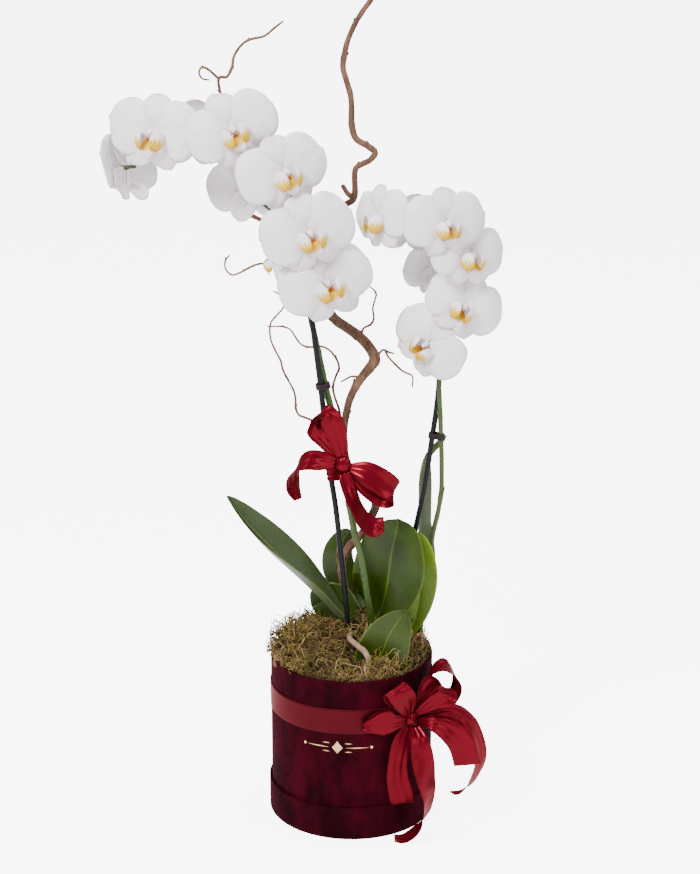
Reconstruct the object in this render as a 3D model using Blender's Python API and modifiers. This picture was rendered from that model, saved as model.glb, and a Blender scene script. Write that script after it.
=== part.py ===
"""Orchid in a box.

Two flowering moth orchids, a small offshoot and a contorted willow branch stand in bark and moss,
in a round card box that sits in its own upturned lid, with a ribbon band and a bow.

Metres, +Z up. The origin is the centre of the underside of the lid, which rests on the table.
-Y is the front and +X is to the right of someone who faces the front.
Lists of points are in millimetres. Those of the plants are measured from the middle of the box's
rim, and those of the box bow run along the band, out from the wall and up from the band's middle.
"""

import math

import bmesh
import bpy
from mathutils import Matrix, Vector

MM = 0.001

# Clearances
GAP = 0.0003

# Box and lid
BOX_RADIUS = 0.080
BOX_HEIGHT = 0.1656
BOX_WALL = 0.0023
LID_WALL = 0.0022
LID_HEIGHT = 0.0336
LIP_SHARE = 0.25

# Lining, bark and moss, with levels measured from the rim of the box
LINER_WALL = 0.0012
BARK_LEVEL = -0.0220
MOSS_EDGE_LEVEL = 0.0010
MOSS_DOME = 0.0165
MOSS_LUMPS = 0.0022
MOSS_WAVES = (130.0, 150.0, 240.0)

# Ribbon
RIBBON_WIDTH = 0.0265
RIBBON_THICKNESS = 0.0007
BAND_LEVEL = 0.1240
BOW_BEARING = math.radians(-46.0)
KNOT_SIZE = (0.0070, 0.0052, 0.0085)
KNOT_GAP = 0.0005

# Supports
STAKE_RADIUS = 0.00215
CLIP_WALL = 0.0012
CLIP_HEIGHT = 0.0055
CLIP_PLAY = 0.0005
CLIP_FRONT_LEVEL = 0.272
CLIP_BACK_LEVEL = 0.213
TIE_WALL = 0.0008
TIE_HEIGHT = 0.022
TIE_PLAY = 0.0008
COLLAR_REACH = 40
COLLAR_STEPS = 6

# Plants
CROWN_FOOT = -0.034
CROWN_SHOULDER = -0.024
LEAF_THICKNESS = 0.0014
LEAF_WIDEST = 0.55
LEAF_BASE_SHARE = 0.2
LEAF_TIP_SHARE = 0.12
FLOWER_WIDTH = 0.088
FLOWER_THICKNESS = 0.0024
RECEPTACLE_RADIUS = 0.0021
RECEPTACLE_BACK = 0.0085
PEDICEL_RADIUS = 0.0016
PEDICEL_STRAIGHT = 0.005

# Levels above the rim below which a stem can be buried
STAKE_SOCKET_TOP = 0.045
CROWN_SOCKET_TOP = 0.060
BRANCH_SOCKET_TOP = 0.036
SPIKE_SOCKET_TOP = 0.045

# How finely round and long pieces are built
TURN_STEPS = 40
MOSS_RINGS = 5
STAKE_STEP = 0.022
SPIKE_STEP = 0.015
BRANCH_STEP = 0.011
TWIG_STEP = 0.008
PEDICEL_STEP = 0.009
LEAF_STEP = 0.011
ROOT_STEP = 0.006
RIBBON_STEP = 0.008

CROWNS = {
    "crown_front": (8, 12, 7.8, 27),
    "crown_back": (58, 22, 7.2, 20),
    "crown_offshoot": (24, -40, 5.2, 18),
}

STAKES = {
    "stake_front": [(1, 2, -62), (-3, -1, 20), (-14, -7, 139), (-21, -8, 189), (-25, -8, 229),
                    (-30, -8, 278), (-36, -8, 327), (-40, -8, 351)],
    "stake_back": [(49, 40, -58), (52, 38, 20), (58, 36.5, 80), (63, 34, 113), (71, 32, 155),
                   (78, 30, 207), (83, 28, 248), (85, 28, 278)],
}

# Flower spikes as x, y, z and radius, with the spots that their pedicels leave from
SPIKES = {
    "spike_front": [(18, 2.8, 10, 3.3), (19, -1, 30, 3.4), (18, -6, 44, 3.3), (15, -10, 63, 3.3),
                    (9, -11, 103, 3.3), (2, -9, 130, 3.3), (-4, -5, 166, 3.3), (-6, -2, 186, 3.2),
                    (-11, -1, 216, 3.2), (-18, -1, 242, 3.2), (-25, -1, 271, 3.2), (-31, 0, 300, 3.1),
                    (-36, 0, 325, 3.0), (-41, 2, 348, 3.0), (-47, 4, 372, 2.9), (-57, 6, 409, 2.8),
                    (-77, 6, 453, 2.7), (-94, 4, 473, 2.6), (-111, 2, 489, 2.5), (-130, 0, 503, 2.4),
                    (-152, 0, 514, 2.3), (-175, 1, 518, 2.2), (-190, 2, 516, 2.0)],
    "spike_back": [(68.5, 23, 5, 2.6), (70, 24, 25, 2.6), (71, 26, 52, 2.5), (74, 26, 74, 2.5),
                   (78, 26, 96, 2.5), (81, 26, 116, 2.5), (85, 26, 135, 2.5), (88, 26, 158, 2.4),
                   (88, 26, 178, 2.4), (87, 24, 209, 2.4), (85, 22, 250, 2.3), (84, 22, 270, 2.3),
                   (85, 22, 305, 2.2), (87, 22, 335, 2.2), (88, 20, 359, 2.1), (87, 16, 383, 2.0),
                   (81, 12, 406, 1.9), (67, 10, 422, 1.8), (51, 8, 428, 1.6)],
}

# Blossoms: spike, start of the pedicel, centre, width, then yaw, upward pitch and roll in degrees
BLOSSOMS = {
    "blossom_left_1": ("spike_front", (-160, 0, 515.5), (-181, -14, 512), 88, -14, 8, -5),
    "blossom_left_2": ("spike_front", (-118, 1.5, 494.5), (-108, -22, 516), 86, 8, 8, 24),
    "blossom_left_3": ("spike_front", (-84, 5, 461.5), (-61, -30, 479), 86, 22, 8, 16),
    "blossom_left_4": ("spike_front", (-53, 5.5, 395), (-39, -41, 425), 90, 14, 8, 16),
    "blossom_left_5": ("spike_front", (-41, 2, 348), (-23, -36, 378), 90, 12, 8, 20),
    "blossom_left_6": ("spike_front", (-188, 2, 516), (-211, 14, 476), 84, -118, -14, 10),
    "blossom_left_7": ("spike_front", (-67, 6, 432), (-95, 25, 456), 80, 172, 6, -12),
    "blossom_left_8": ("spike_front", (-48, 4, 376), (-72, 2, 390), 50, -84, 4, 0),
    "blossom_left_9": ("spike_front", (-140, 0, 508.5), (-146, 22, 508), 78, 184, 6, 6),
    "blossom_right_1": ("spike_back", (84.3, 22, 281), (71, -10, 314), 78, -25, 6, -45),
    "blossom_right_2": ("spike_back", (86, 22, 320), (104, -19, 352), 76, 6, 6, -28),
    "blossom_right_3": ("spike_back", (87.5, 18, 371), (109, -27, 402), 76, 25, 6, -6),
    "blossom_right_4": ("spike_back", (76, 11, 413), (86, -40, 434), 78, 17, 6, 4),
    "blossom_right_5": ("spike_back", (53, 8, 427.5), (24, -14, 434), 74, -50, 4, 8),
    "blossom_right_6": ("spike_back", (62, 9.4, 424), (54, 30, 423), 70, 190, 4, 10),
    "blossom_right_7": ("spike_back", (87.5, 18.5, 369), (80, 36, 379), 66, 194, 4, -8),
}

# A flower 1 wide: middle, half-sizes and lean of each tepal, then middle and half-sizes of its solid heart
TEPALS = [
    ((0.0, 0.215), (0.17, 0.20), 0), ((0.27, 0.05), (0.235, 0.25), 6), ((-0.27, 0.05), (0.235, 0.25), -6),
    ((0.135, -0.19), (0.135, 0.205), 33), ((-0.135, -0.19), (0.135, 0.205), -33)]
HEART = [
    ((0, -0.01, 0.0), (0.10, 0.11, 0.028)), ((0, -0.085, 0.06), (0.055, 0.075, 0.065)),
    ((0, 0.03, 0.045), (0.03, 0.04, 0.05))]

# Leaves: points of the midrib, side direction at the base, middle and tip, width and fold depth
LEAVES = {
    "leaf_long_left": ([(-1.5, 9.5, 21), (-14, 6, 34.5), (-33, 3, 58), (-54, -2, 83), (-77, -7, 108),
                        (-97, -11, 132), (-110, -13, 150), (-120, -14, 165)],
                       (0.1, 1, 0.1), (0.45, 0.85, 0.35), (0.62, 0.55, 0.45), 48, 7),
    "leaf_back_left": ([(9, 21.5, 16), (9, 38, 28), (-3, 50, 45), (-13, 53, 64), (-14, 53, 82),
                        (-8, 54, 96), (0, 54, 106)],
                       (-1, 0, 0.1), (-1, 0.1, -0.1), (-0.9, 0.2, 0.4), 34, 4),
    "leaf_low_left": ([(0.2, 17, 23), (-9, 20, 35), (-20, 22.5, 40), (-30, 23.5, 40), (-40, 24, 36)],
                      (0.1, 0.1, 1), (0, 0.15, 1), (-0.3, 0.1, 1), 44, 1.5),
    "leaf_broad_front": ([(16.8, 15.6, 20), (26, 14, 30), (32, 10, 48), (36, 6, 74), (39, 5, 100),
                          (43, 6, 119), (46, 8, 134)],
                         (0.5, -0.9, 0), (1, -0.12, -0.05), (1, 0, -0.1), 72, 5),
    "leaf_broad_right": ([(58.4, 14.0, 11), (62, 12.5, 22), (66, 14, 42), (68, 16, 68), (67, 18, 94),
                          (65, 19, 116)],
                         (1, 0, 0), (1, 0.05, 0), (1, 0, 0.3), 34, 3),
    "leaf_offshoot": ([(26.6, -45.6, 14), (29, -52, 20), (33, -56.5, 30), (39, -57, 43), (50, -54, 61)],
                      (0.6, -0.5, -0.3), (0.86, 0, -0.5), (0.8, 0.1, -0.6), 52, 4),
    "leaf_tall_right": ([(60, 29.8, 10), (65, 42, 30), (68, 52, 62), (69, 56, 104), (69, 58, 140),
                         (70, 59, 170), (78, 57, 190), (94, 51, 206)],
                        (1, -0.3, 0), (0.35, 0.9, 0), (0.3, 0.6, 0.7), 40, 4),
}

ROOTS = {
    "root_front": ([(3, 1, 16), (5, -8, 20), (10, -21, 19.5), (13, -33, 15), (13, -43, 8),
                    (10, -49, 2)], 2.1),
    "root_right": ([(64.5, 11, 8), (69, 5, 14), (71, 1, 12), (69, -4, 6), (67, -8, 0)], 1.7),
}

# Branch: x, y, z and radius along the stem and along each twig, which starts inside the stem
BRANCH = [(-3, 31, -66, 3.8), (-3, 31, -20, 3.8), (-3, 31, 12, 3.8), (-4, 31, 32, 3.8),
          (-6, 30, 52, 3.9), (-10, 28, 70, 3.9), (-8, 24, 87, 4.0), (-2, 22, 100, 4.0),
          (6, 24, 108, 4.1), (14, 26, 118, 4.2), (20, 27, 131, 4.4), (24, 26, 142, 4.4),
          (21, 23, 157, 4.2), (10, 20, 172, 3.6), (-2, 17, 186, 3.0), (-6, 15, 201, 2.6),
          (-7, 14, 217, 2.8), (-6, 14, 232, 3.3), (-3, 13, 250, 3.7), (3, 12, 265, 4.0),
          (10, 12, 276, 4.3), (18, 12, 286, 4.9), (22, 12, 294, 5.2), (18, 14, 303, 5.1),
          (9, 18, 313, 5.0), (-4, 22, 322, 5.0), (-14, 24, 328, 4.7), (-21, 26, 335, 4.4),
          (-27, 28, 345, 4.3), (-34, 30, 361, 4.0), (-32, 32, 383, 3.6), (-21, 34, 404, 3.2),
          (-13, 34, 423, 3.0), (-7, 34, 437, 2.9), (0, 32, 442, 2.9), (3, 30, 449, 2.9),
          (3, 28, 471, 2.7), (9, 28, 477, 2.8), (17, 28, 481, 2.9), (22, 28, 488, 3.0),
          (15, 28, 494, 3.0), (4, 28, 501, 3.0), (0, 28, 514, 3.0), (0, 28, 529, 2.9),
          (-1, 28, 541, 2.8), (-5, 28, 555, 2.8), (-8, 28, 567, 2.7), (-6, 28, 582, 2.7),
          (-3, 28, 593, 2.6), (3, 28, 606, 2.5), (10, 28, 617, 2.5), (18, 28, 628, 2.4),
          (24, 28, 641, 2.3)]
TWIGS = [
    [(-10, 28, 71, 1.6), (-12, 22, 80, 1.2), (-14, 17, 92, 0.9), (-14, 14, 102, 0.7)],
    [(1, 31, 446, 2.6), (-4, 28, 450, 2.5), (-8, 24, 457, 2.2)],
    [(-32, 32, 383, 2.5), (-49, 38, 404, 2.2), (-73, 41, 417, 2.1), (-90, 42, 424, 2.1),
     (-102, 41, 432, 1.9), (-109, 38, 447, 1.7), (-111, 36, 466, 1.6), (-109, 36, 489, 1.5),
     (-113, 37, 513, 1.4), (-120, 34, 536, 1.4), (-123, 30, 552, 1.4), (-121, 27, 558, 1.4),
     (-115, 26, 558, 1.4), (-110, 26, 567, 1.4), (-108, 26, 577, 1.3), (-101, 26, 587, 1.3),
     (-93, 26, 592, 1.3), (-80, 26, 595, 1.2), (-71, 26, 602, 1.1), (-63, 26, 608, 0.9)],
    [(-122.5, 29, 556, 1.3), (-132, 25, 565, 1.2), (-138, 22, 567, 1.1), (-140, 20, 562, 1.0),
     (-137, 20, 557, 0.9), (-131, 20, 556, 0.8)],
    [(-34, 30, 361, 1.6), (-56, 38, 373, 1.3), (-74, 40, 380, 1.2), (-87, 32, 382, 1.1),
     (-95, 23, 381, 1.1), (-104, 18, 377, 1.0), (-113, 18, 374, 1.0), (-119, 18, 380, 0.9),
     (-119, 18, 388, 0.9), (-115, 18, 393, 0.7)],
    [(-3, 17, 187, 1.5), (-18, 19, 199, 1.4), (-29, 20, 215, 1.3), (-37, 20, 229, 1.3),
     (-44, 20, 233, 1.2), (-51, 20, 236, 1.2), (-54, 20, 243, 1.2), (-54, 20, 252, 1.2),
     (-56, 20, 261, 1.1), (-61, 20, 271, 1.1), (-66, 20, 281, 1.1), (-68, 20, 290, 1.1),
     (-72, 20, 298, 1.0), (-77, 20, 310, 1.0), (-78, 20, 322, 1.0), (-76, 20, 329, 0.9),
     (-70, 20, 336, 0.9), (-65, 20, 342, 0.9), (-64, 20, 349, 0.8), (-69, 20, 355, 0.8),
     (-74, 20, 358, 0.7)],
    [(-7, 14, 216, 1.5), (-10, 16, 227, 1.3), (-12, 19, 241, 1.3), (-16, 20, 253, 1.2),
     (-18, 20, 264, 1.2), (-15, 20, 275, 1.2), (-12, 20, 283, 1.2), (-15, 22, 292, 1.1),
     (-22, 24, 300, 1.1), (-31, 26, 303, 1.1), (-40, 26, 302, 1.1), (-48, 27, 304, 1.0),
     (-54, 29, 311, 1.0), (-59, 31, 318, 0.9), (-67, 31, 321, 0.9), (-80, 31, 321, 0.8)],
    [(9, 18, 313, 1.4), (11, 18, 322, 1.2), (18, 18, 326, 1.2), (21, 18, 332, 1.1),
     (20, 18, 342, 1.0), (22, 18, 350, 0.9), (23, 18, 357, 0.9), (16, 18, 364, 0.7)],
    [(22, 12, 294, 1.5), (27, 12, 300, 1.3), (30, 12, 303, 1.3), (34, 12, 301, 1.2),
     (40, 12, 299, 0.9)],
    [(32, 12, 302, 1.2), (35, 12, 296, 1.1), (43, 12, 287, 1.1), (50, 12, 281, 1.0),
     (58, 12, 277, 0.9), (58, 12, 266, 0.8)],
    [(10, 12, 276, 1.4), (4, 10, 277, 1.2), (-1, 10, 277, 1.1), (-6, 10, 274, 1.0),
     (-10, 10, 272, 0.8)],
]

# Knots: the middle of the one on the stems, which sits high on its tie, and the place of the one on the box
STEM_KNOT = (-8.0, -13.6, 197.0)
KNOT_RISE = 0.007
TIE_LEVEL = STEM_KNOT[2] * MM - KNOT_RISE
BOX_KNOT = (-3.0, (2 * GAP + RIBBON_THICKNESS + KNOT_SIZE[1]) / MM, -3.0)


def knot_exit(knot, *direction):
    """Give the point, in millimetres, where ribbon leaves a knot in a direction from its middle."""
    unit = Vector(direction).normalized()
    reach = [(size + KNOT_GAP) / MM for size in KNOT_SIZE]
    return tuple(middle + out * share for middle, out, share in zip(knot, reach, unit))


# Stem bow: stations along each length of ribbon, as a point, the direction across and a share of the width
STEM_BOW = {
    "stem_bow_loop_upper": [
        (knot_exit(STEM_KNOT, -0.1, -0.4, 0.9), (0.7, 0.1, -0.2), 0.3),
        ((-10, -18, 222), (0.8, 0.2, 0.1), 0.8), ((-15, -22, 240), (0.8, 0.3, 0.3), 0.95),
        ((-24, -23.5, 251), (0.5, 0.8, 0.3), 0.65), ((-32, -22, 243), (0.3, 0.8, -0.4), 0.65),
        ((-30, -19, 228), (0.8, 0.1, -0.4), 0.6), ((-21, -16, 215), (0.7, 0.1, -0.6), 0.45),
        (knot_exit(STEM_KNOT, -0.7, 0, 0.7), (0.7, 0, -0.6), 0.2)],
    "stem_bow_loop_right": [
        (knot_exit(STEM_KNOT, 0.85, -0.3, -0.35), (0, 0.2, 1), 0.2),
        ((14, -20, 191), (0.3, 0.2, 0.9), 0.7), ((30, -22, 181), (0.3, 0.1, 0.9), 0.9),
        ((41, -17, 169), (0.2, 0.4, 0.9), 0.8), ((32, -10, 163), (0.1, 0.4, 0.9), 0.8),
        ((15, -9, 172), (0.2, 0.2, 0.9), 0.6),
        (knot_exit(STEM_KNOT, 0.6, 0.5, -0.7), (0.6, 0, 0.6), 0.15)],
    "stem_bow_tail_left": [
        (knot_exit(STEM_KNOT, -1, -0.2, 0.1), (0, 0.1, 1), 0.3), ((-30, -20, 200), (0.1, 0.2, 1), 0.5),
        ((-45, -22, 201), (0.4, 0.3, 0.9), 0.8), ((-55, -23, 190), (0.8, 0.4, 0.4), 0.8),
        ((-54, -22, 174), (0.8, 0.3, 0.3), 1), ((-50, -22, 164), (0.8, 0.3, 0.4), 0.8)],
    "stem_bow_tail_right": [
        (knot_exit(STEM_KNOT, 0.1, -0.3, -0.9), (1, 0.2, 0), 0.3), ((-3, -21, 173), (0.8, 0.4, 0.2), 0.7),
        ((5, -23, 158), (0.9, 0.3, 0.3), 0.8), ((14, -23, 146), (0.9, 0.2, 0.4), 1),
        ((21, -22, 137), (0.9, 0.2, 0.5), 1)],
}

# Box bow, in millimetres along the band to the right, out from the wall and up from the band's middle
BOX_BOW = {
    "box_bow_loop_left": [
        (knot_exit(BOX_KNOT, -1, 0.2, 0), (0, 0.1, 1), 0.25), ((-24, 9, -2), (0, 0.1, 1), 0.65),
        ((-32, 9, 0), (0, 0.1, 1), 1), ((-45, 8, -2), (0, 0.2, 1), 0.45),
        ((-51, 5, -3), (0, 0.3, 1), 0.2), ((-45, 2.7, -3), (0, 0, 1), 0.45),
        ((-32, 2.4, -1), (0, 0, 1), 0.9), ((-24, 2.6, -1), (0, 0, 1), 0.8),
        ((-11.4, 3.2, -2), (0, 0, 1), 0.25)],
    "box_bow_loop_upper_left": [
        (knot_exit(BOX_KNOT, -0.65, 0.4, 0.7), (0.9, 0.1, 0.4), 0.25),
        ((-14, 14, 18), (0.9, 0.1, 0.3), 0.8), ((-20, 16, 29), (0.9, 0.1, 0.3), 0.9),
        ((-25, 11.5, 35), (0.9, 0.1, 0.3), 0.8), ((-22, 5.5, 25), (0.9, 0, 0.4), 0.7),
        (knot_exit(BOX_KNOT, -0.6, -0.3, 0.75), (0.9, 0, 0.5), 0.2)],
    "box_bow_loop_upper_right": [
        (knot_exit(BOX_KNOT, 0.45, 0.3, 0.85), (0.6, 0.3, -0.5), 0.15),
        ((8, 13, 20), (0.5, 0.6, -0.6), 0.5), ((12, 19, 31), (0.5, 0.6, -0.6), 0.8),
        ((14, 31, 30), (0.5, 0.6, -0.6), 0.9), ((10, 37, 24), (0.5, 0.6, -0.6), 0.8),
        ((4, 28, 17), (0.5, 0.5, -0.7), 0.5),
        (knot_exit(BOX_KNOT, 0.3, 0.75, 0.6), (0.6, 0.3, -0.5), 0.15)],
    "box_bow_loop_back": [
        (knot_exit(BOX_KNOT, 0.75, -0.2, 0.65), (0.3, -0.7, -0.5), 0.15), ((16, 8, 20), (0.7, -0.7, 0.1), 0.35),
        ((24, 9, 36), (0.9, -0.4, 0.2), 0.75), ((31, 19, 42), (0.9, -0.5, 0.2), 0.85),
        ((36, 28, 30), (0.7, -0.7, 0.1), 0.85), ((36, 29, 16), (0.6, -0.8, 0), 0.8),
        ((31, 24, 5), (0.5, -0.8, 0.1), 0.6), ((20, 20, 0), (0.3, -0.6, 0.7), 0.25)],
    "box_bow_tail_long_right": [
        (knot_exit(BOX_KNOT, 0.95, 0.1, 0), (0, 0.1, 1), 0.2), ((8, 21, 2), (0.2, -0.1, 1), 0.3),
        ((19, 35, 1), (0.3, 0.1, 0.9), 0.65), ((26, 47, -11), (0.5, 0.4, 0.8), 0.6),
        ((30, 55, -32), (0.9, 0.3, 0.2), 0.8), ((31, 57, -54), (1, 0.2, 0.2), 0.9),
        ((28, 51, -73), (0.9, 0, -0.3), 0.9), ((23, 43, -82), (0.9, -0.3, -0.4), 0.6),
        ((19, 36, -84), (0.9, -0.3, -0.3), 0.3)],
    "box_bow_tail_short_right": [
        (knot_exit(BOX_KNOT, 0.75, 0.5, -0.5), (0.2, 0.2, 1), 0.2), ((2, 27, -3), (0.3, -0.1, 1), 0.35),
        ((9, 39, -11), (0.4, 0.3, 0.9), 0.65), ((15, 49, -26), (0.4, 0.7, 0.6), 0.9),
        ((19, 53, -49), (0.5, 0.9, -0.1), 0.95)],
    "box_bow_tail_left": [
        (knot_exit(BOX_KNOT, -0.6, 0.2, -0.8), (1, 0.1, 0.2), 0.25), ((-15, 9, -24), (1, 0.2, 0), 0.7),
        ((-19, 10, -40), (1, 0.3, 0), 0.7), ((-20, 10, -60), (1, 0.3, 0), 0.8),
        ((-16, 11, -81), (0.9, 0.3, 0), 0.9), ((-14, 11, -88), (0.9, 0.3, 0), 0.7)],
    "box_bow_tail_middle": [
        (knot_exit(BOX_KNOT, 0.1, 0.5, -0.85), (1, 0.4, 0), 0.25), ((-5, 20, -20), (0.9, 0.4, 0), 0.6),
        ((-5, 25, -38), (1, 0.2, 0), 0.9), ((-4, 29, -57), (1, -0.1, 0), 1),
        ((-2, 31, -79), (0.9, -0.4, 0), 1), ((-5, 30, -97), (0.8, -0.7, 0), 0.9),
        ((-12, 28, -110), (0.6, -0.7, 0.4), 0.7), ((-19, 20, -120), (0.4, -0.9, 0.1), 0.5),
        ((-25, 14, -121), (0.4, -0.9, 0.1), 0.3)],
}


def start_scene():
    """Remove every object and make the collection that holds the parts."""
    for obj in list(bpy.data.objects):
        bpy.data.objects.remove(obj, do_unlink=True)
    parts = bpy.data.collections.new("orchid_in_a_box")
    cutters = bpy.data.collections.new("cutters")
    bpy.context.scene.collection.children.link(parts)
    bpy.context.scene.collection.children.link(cutters)
    return parts, cutters


PARTS, CUTTERS = start_scene()


def finish(name, colour, roughness):
    """Make a Principled material."""
    material = bpy.data.materials.new(name)
    material.use_nodes = True
    shader = material.node_tree.nodes["Principled BSDF"]
    shader.inputs["Base Color"].default_value = (*colour, 1.0)
    shader.inputs["Roughness"].default_value = roughness
    shader.inputs["Metallic"].default_value = 0.0
    return material


VELVET = finish("burgundy_velvet", (0.055, 0.004, 0.009), 0.9)
SATIN = finish("red_satin", (0.30, 0.008, 0.022), 0.35)
LINER = finish("clear_liner", (0.55, 0.55, 0.52), 0.3)
BARK = finish("pine_bark", (0.13, 0.06, 0.03), 0.95)
MOSS = finish("dry_moss", (0.22, 0.17, 0.06), 1.0)
WOOD = finish("willow_bark", (0.20, 0.11, 0.07), 0.8)
STEM = finish("green_stem", (0.08, 0.16, 0.03), 0.5)
LEAF = finish("green_leaf", (0.05, 0.13, 0.02), 0.35)
ROOT = finish("aerial_root", (0.33, 0.25, 0.14), 0.8)
PETAL = finish("white_petal", (0.85, 0.82, 0.84), 0.5)
STAKE = finish("dark_stake", (0.03, 0.028, 0.03), 0.4)


def link(obj, collection=PARTS, material=None, parent=None):
    """Put an object in a collection, dress it and hang it on its parent."""
    collection.objects.link(obj)
    obj.parent = parent
    if material:
        obj.data.materials.clear()
        obj.data.materials.append(material)
    return obj


def empty(name, location):
    """Make an empty that other objects hang on."""
    obj = bpy.data.objects.new(name, None)
    obj.location = location
    return link(obj)


RIM = empty("rim_frame", (0.0, 0.0, BOX_HEIGHT))


def from_bmesh(name, bm, material=None, parent=None, collection=PARTS):
    """Turn a bmesh into an object."""
    mesh = bpy.data.meshes.new(name)
    bm.to_mesh(mesh)
    bm.free()
    return link(bpy.data.objects.new(name, mesh), collection, material, parent)


def smooth_path(points, step):
    """Read points, a step in metres apart, from a smooth curve through the given ones, in any columns."""
    columns = range(len(points[0]))
    ends = [[2 * a - b for a, b in zip(points[i], points[j])] for i, j in ((0, 1), (-1, -2))]
    chain = [ends[0], *points, ends[1]]
    dense = []
    for i in range(1, len(chain) - 2):
        p0, p1, p2, p3 = chain[i - 1:i + 3]
        for k in range(12):
            t = k / 12
            dense.append([0.5 * (2 * p1[c] + (p2[c] - p0[c]) * t
                                 + (2 * p0[c] - 5 * p1[c] + 4 * p2[c] - p3[c]) * t * t
                                 + (3 * p1[c] - p0[c] - 3 * p2[c] + p3[c]) * t ** 3) for c in columns])
    dense.append(list(points[-1]))
    lengths = [0.0]
    for a, b in zip(dense, dense[1:]):
        lengths.append(lengths[-1] + math.dist(a[:3], b[:3]))
    count = max(2, round(lengths[-1] * MM / step))
    result = []
    j = 0
    for i in range(count + 1):
        target = lengths[-1] * i / count
        while j < len(dense) - 2 and lengths[j + 1] < target:
            j += 1
        span = (lengths[j + 1] - lengths[j]) or 1.0
        t = min(1.0, max(0.0, (target - lengths[j]) / span))
        result.append([dense[j][c] + (dense[j + 1][c] - dense[j][c]) * t for c in columns])
    return result


def tube(name, points, material, resolution=1, parent=RIM, grow=0.0, collection=PARTS, as_curve=True):
    """Sweep a round tube along points of x, y, z and radius in millimetres."""
    curve = bpy.data.curves.new(name, "CURVE")
    curve.dimensions = "3D"
    curve.bevel_depth = MM
    curve.bevel_resolution = resolution
    curve.use_fill_caps = True
    spline = curve.splines.new("POLY")
    spline.points.add(len(points) - 1)
    for target, (x, y, z, radius) in zip(spline.points, points):
        target.co = (x * MM, y * MM, z * MM, 1.0)
        target.radius = radius + grow / MM
    obj = link(bpy.data.objects.new(name, curve), collection, material, parent)
    return obj if as_curve else curve_to_mesh(obj, collection, material, parent)


def curve_to_mesh(obj, collection, material, parent):
    """Replace a curve object with its mesh, with the caps welded on."""
    bpy.context.view_layer.update()
    evaluated = obj.evaluated_get(bpy.context.evaluated_depsgraph_get())
    mesh = bpy.data.meshes.new_from_object(evaluated)
    name = obj.name
    bpy.data.objects.remove(obj, do_unlink=True)
    bm = bmesh.new()
    bm.from_mesh(mesh)
    bmesh.ops.remove_doubles(bm, verts=bm.verts, dist=1e-6)
    bm.to_mesh(mesh)
    bm.free()
    return link(bpy.data.objects.new(name, mesh), collection, material, parent)


def boolean(obj, other, operation):
    """Add an exact Boolean with another object."""
    modifier = obj.modifiers.new(f"{operation.lower()}_{other.name}", "BOOLEAN")
    modifier.operation = operation
    modifier.solver = "EXACT"
    modifier.object = other
    other.hide_render = True
    other.display_type = "WIRE"


def turned(name, profile, material, parent=None):
    """Turn a profile of radius and height round the Z axis. It runs down the outside and up the inside."""
    mesh = bpy.data.meshes.new(name)
    mesh.from_pydata([(r, 0.0, z) for r, z in profile], [(i, i + 1) for i in range(len(profile) - 1)], [])
    obj = link(bpy.data.objects.new(name, mesh), PARTS, material, parent)
    screw = obj.modifiers.new("turn", "SCREW")
    screw.steps = TURN_STEPS
    screw.render_steps = TURN_STEPS
    screw.use_merge_vertices = True
    screw.merge_threshold = 0.00005
    return obj


def cup(name, outer, wall, bottom, floor, top, material, parent=None):
    """Turn an open cup with a flat floor."""
    lip = LIP_SHARE * wall
    profile = [(0.0, floor), (outer - wall, floor), (outer - wall, top - lip), (outer - wall + lip, top),
               (outer - lip, top), (outer, top - lip), (outer, bottom), (0.0, bottom)]
    return turned(name, profile, material, parent)


def ellipsoid(name, centre, radii, material, parent):
    """Make a small egg-shaped body at a place in millimetres."""
    bm = bmesh.new()
    bmesh.ops.create_uvsphere(bm, u_segments=12, v_segments=8, radius=1.0)
    bmesh.ops.scale(bm, vec=radii, verts=bm.verts)
    obj = from_bmesh(name, bm, material, parent)
    obj.location = Vector(centre) * MM
    return obj


def strip(name, centres, halves, thickness, material, parent, across=2, fold=0.0):
    """Make a sheet from centre points and half-width vectors, folded along its middle, and thicken it."""
    bm = bmesh.new()
    rows = []
    for i, (centre, half) in enumerate(zip(centres, halves)):
        ahead = centres[min(i + 1, len(centres) - 1)] - centres[max(i - 1, 0)]
        normal = ahead.cross(half).normalized()
        share = half.length / max(h.length for h in halves)
        row = []
        for k in range(across + 1):
            u = 2 * k / across - 1
            row.append(bm.verts.new(centre + half * u - normal * fold * share * (1 - abs(u))))
        rows.append(row)
    for lower, upper in zip(rows, rows[1:]):
        for k in range(across):
            bm.faces.new((lower[k], lower[k + 1], upper[k + 1], upper[k]))
    obj = from_bmesh(name, bm, material, parent)
    shell = obj.modifiers.new("thickness", "SOLIDIFY")
    shell.thickness = thickness
    shell.offset = 0.0
    shell.use_even_offset = False
    return obj


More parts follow.
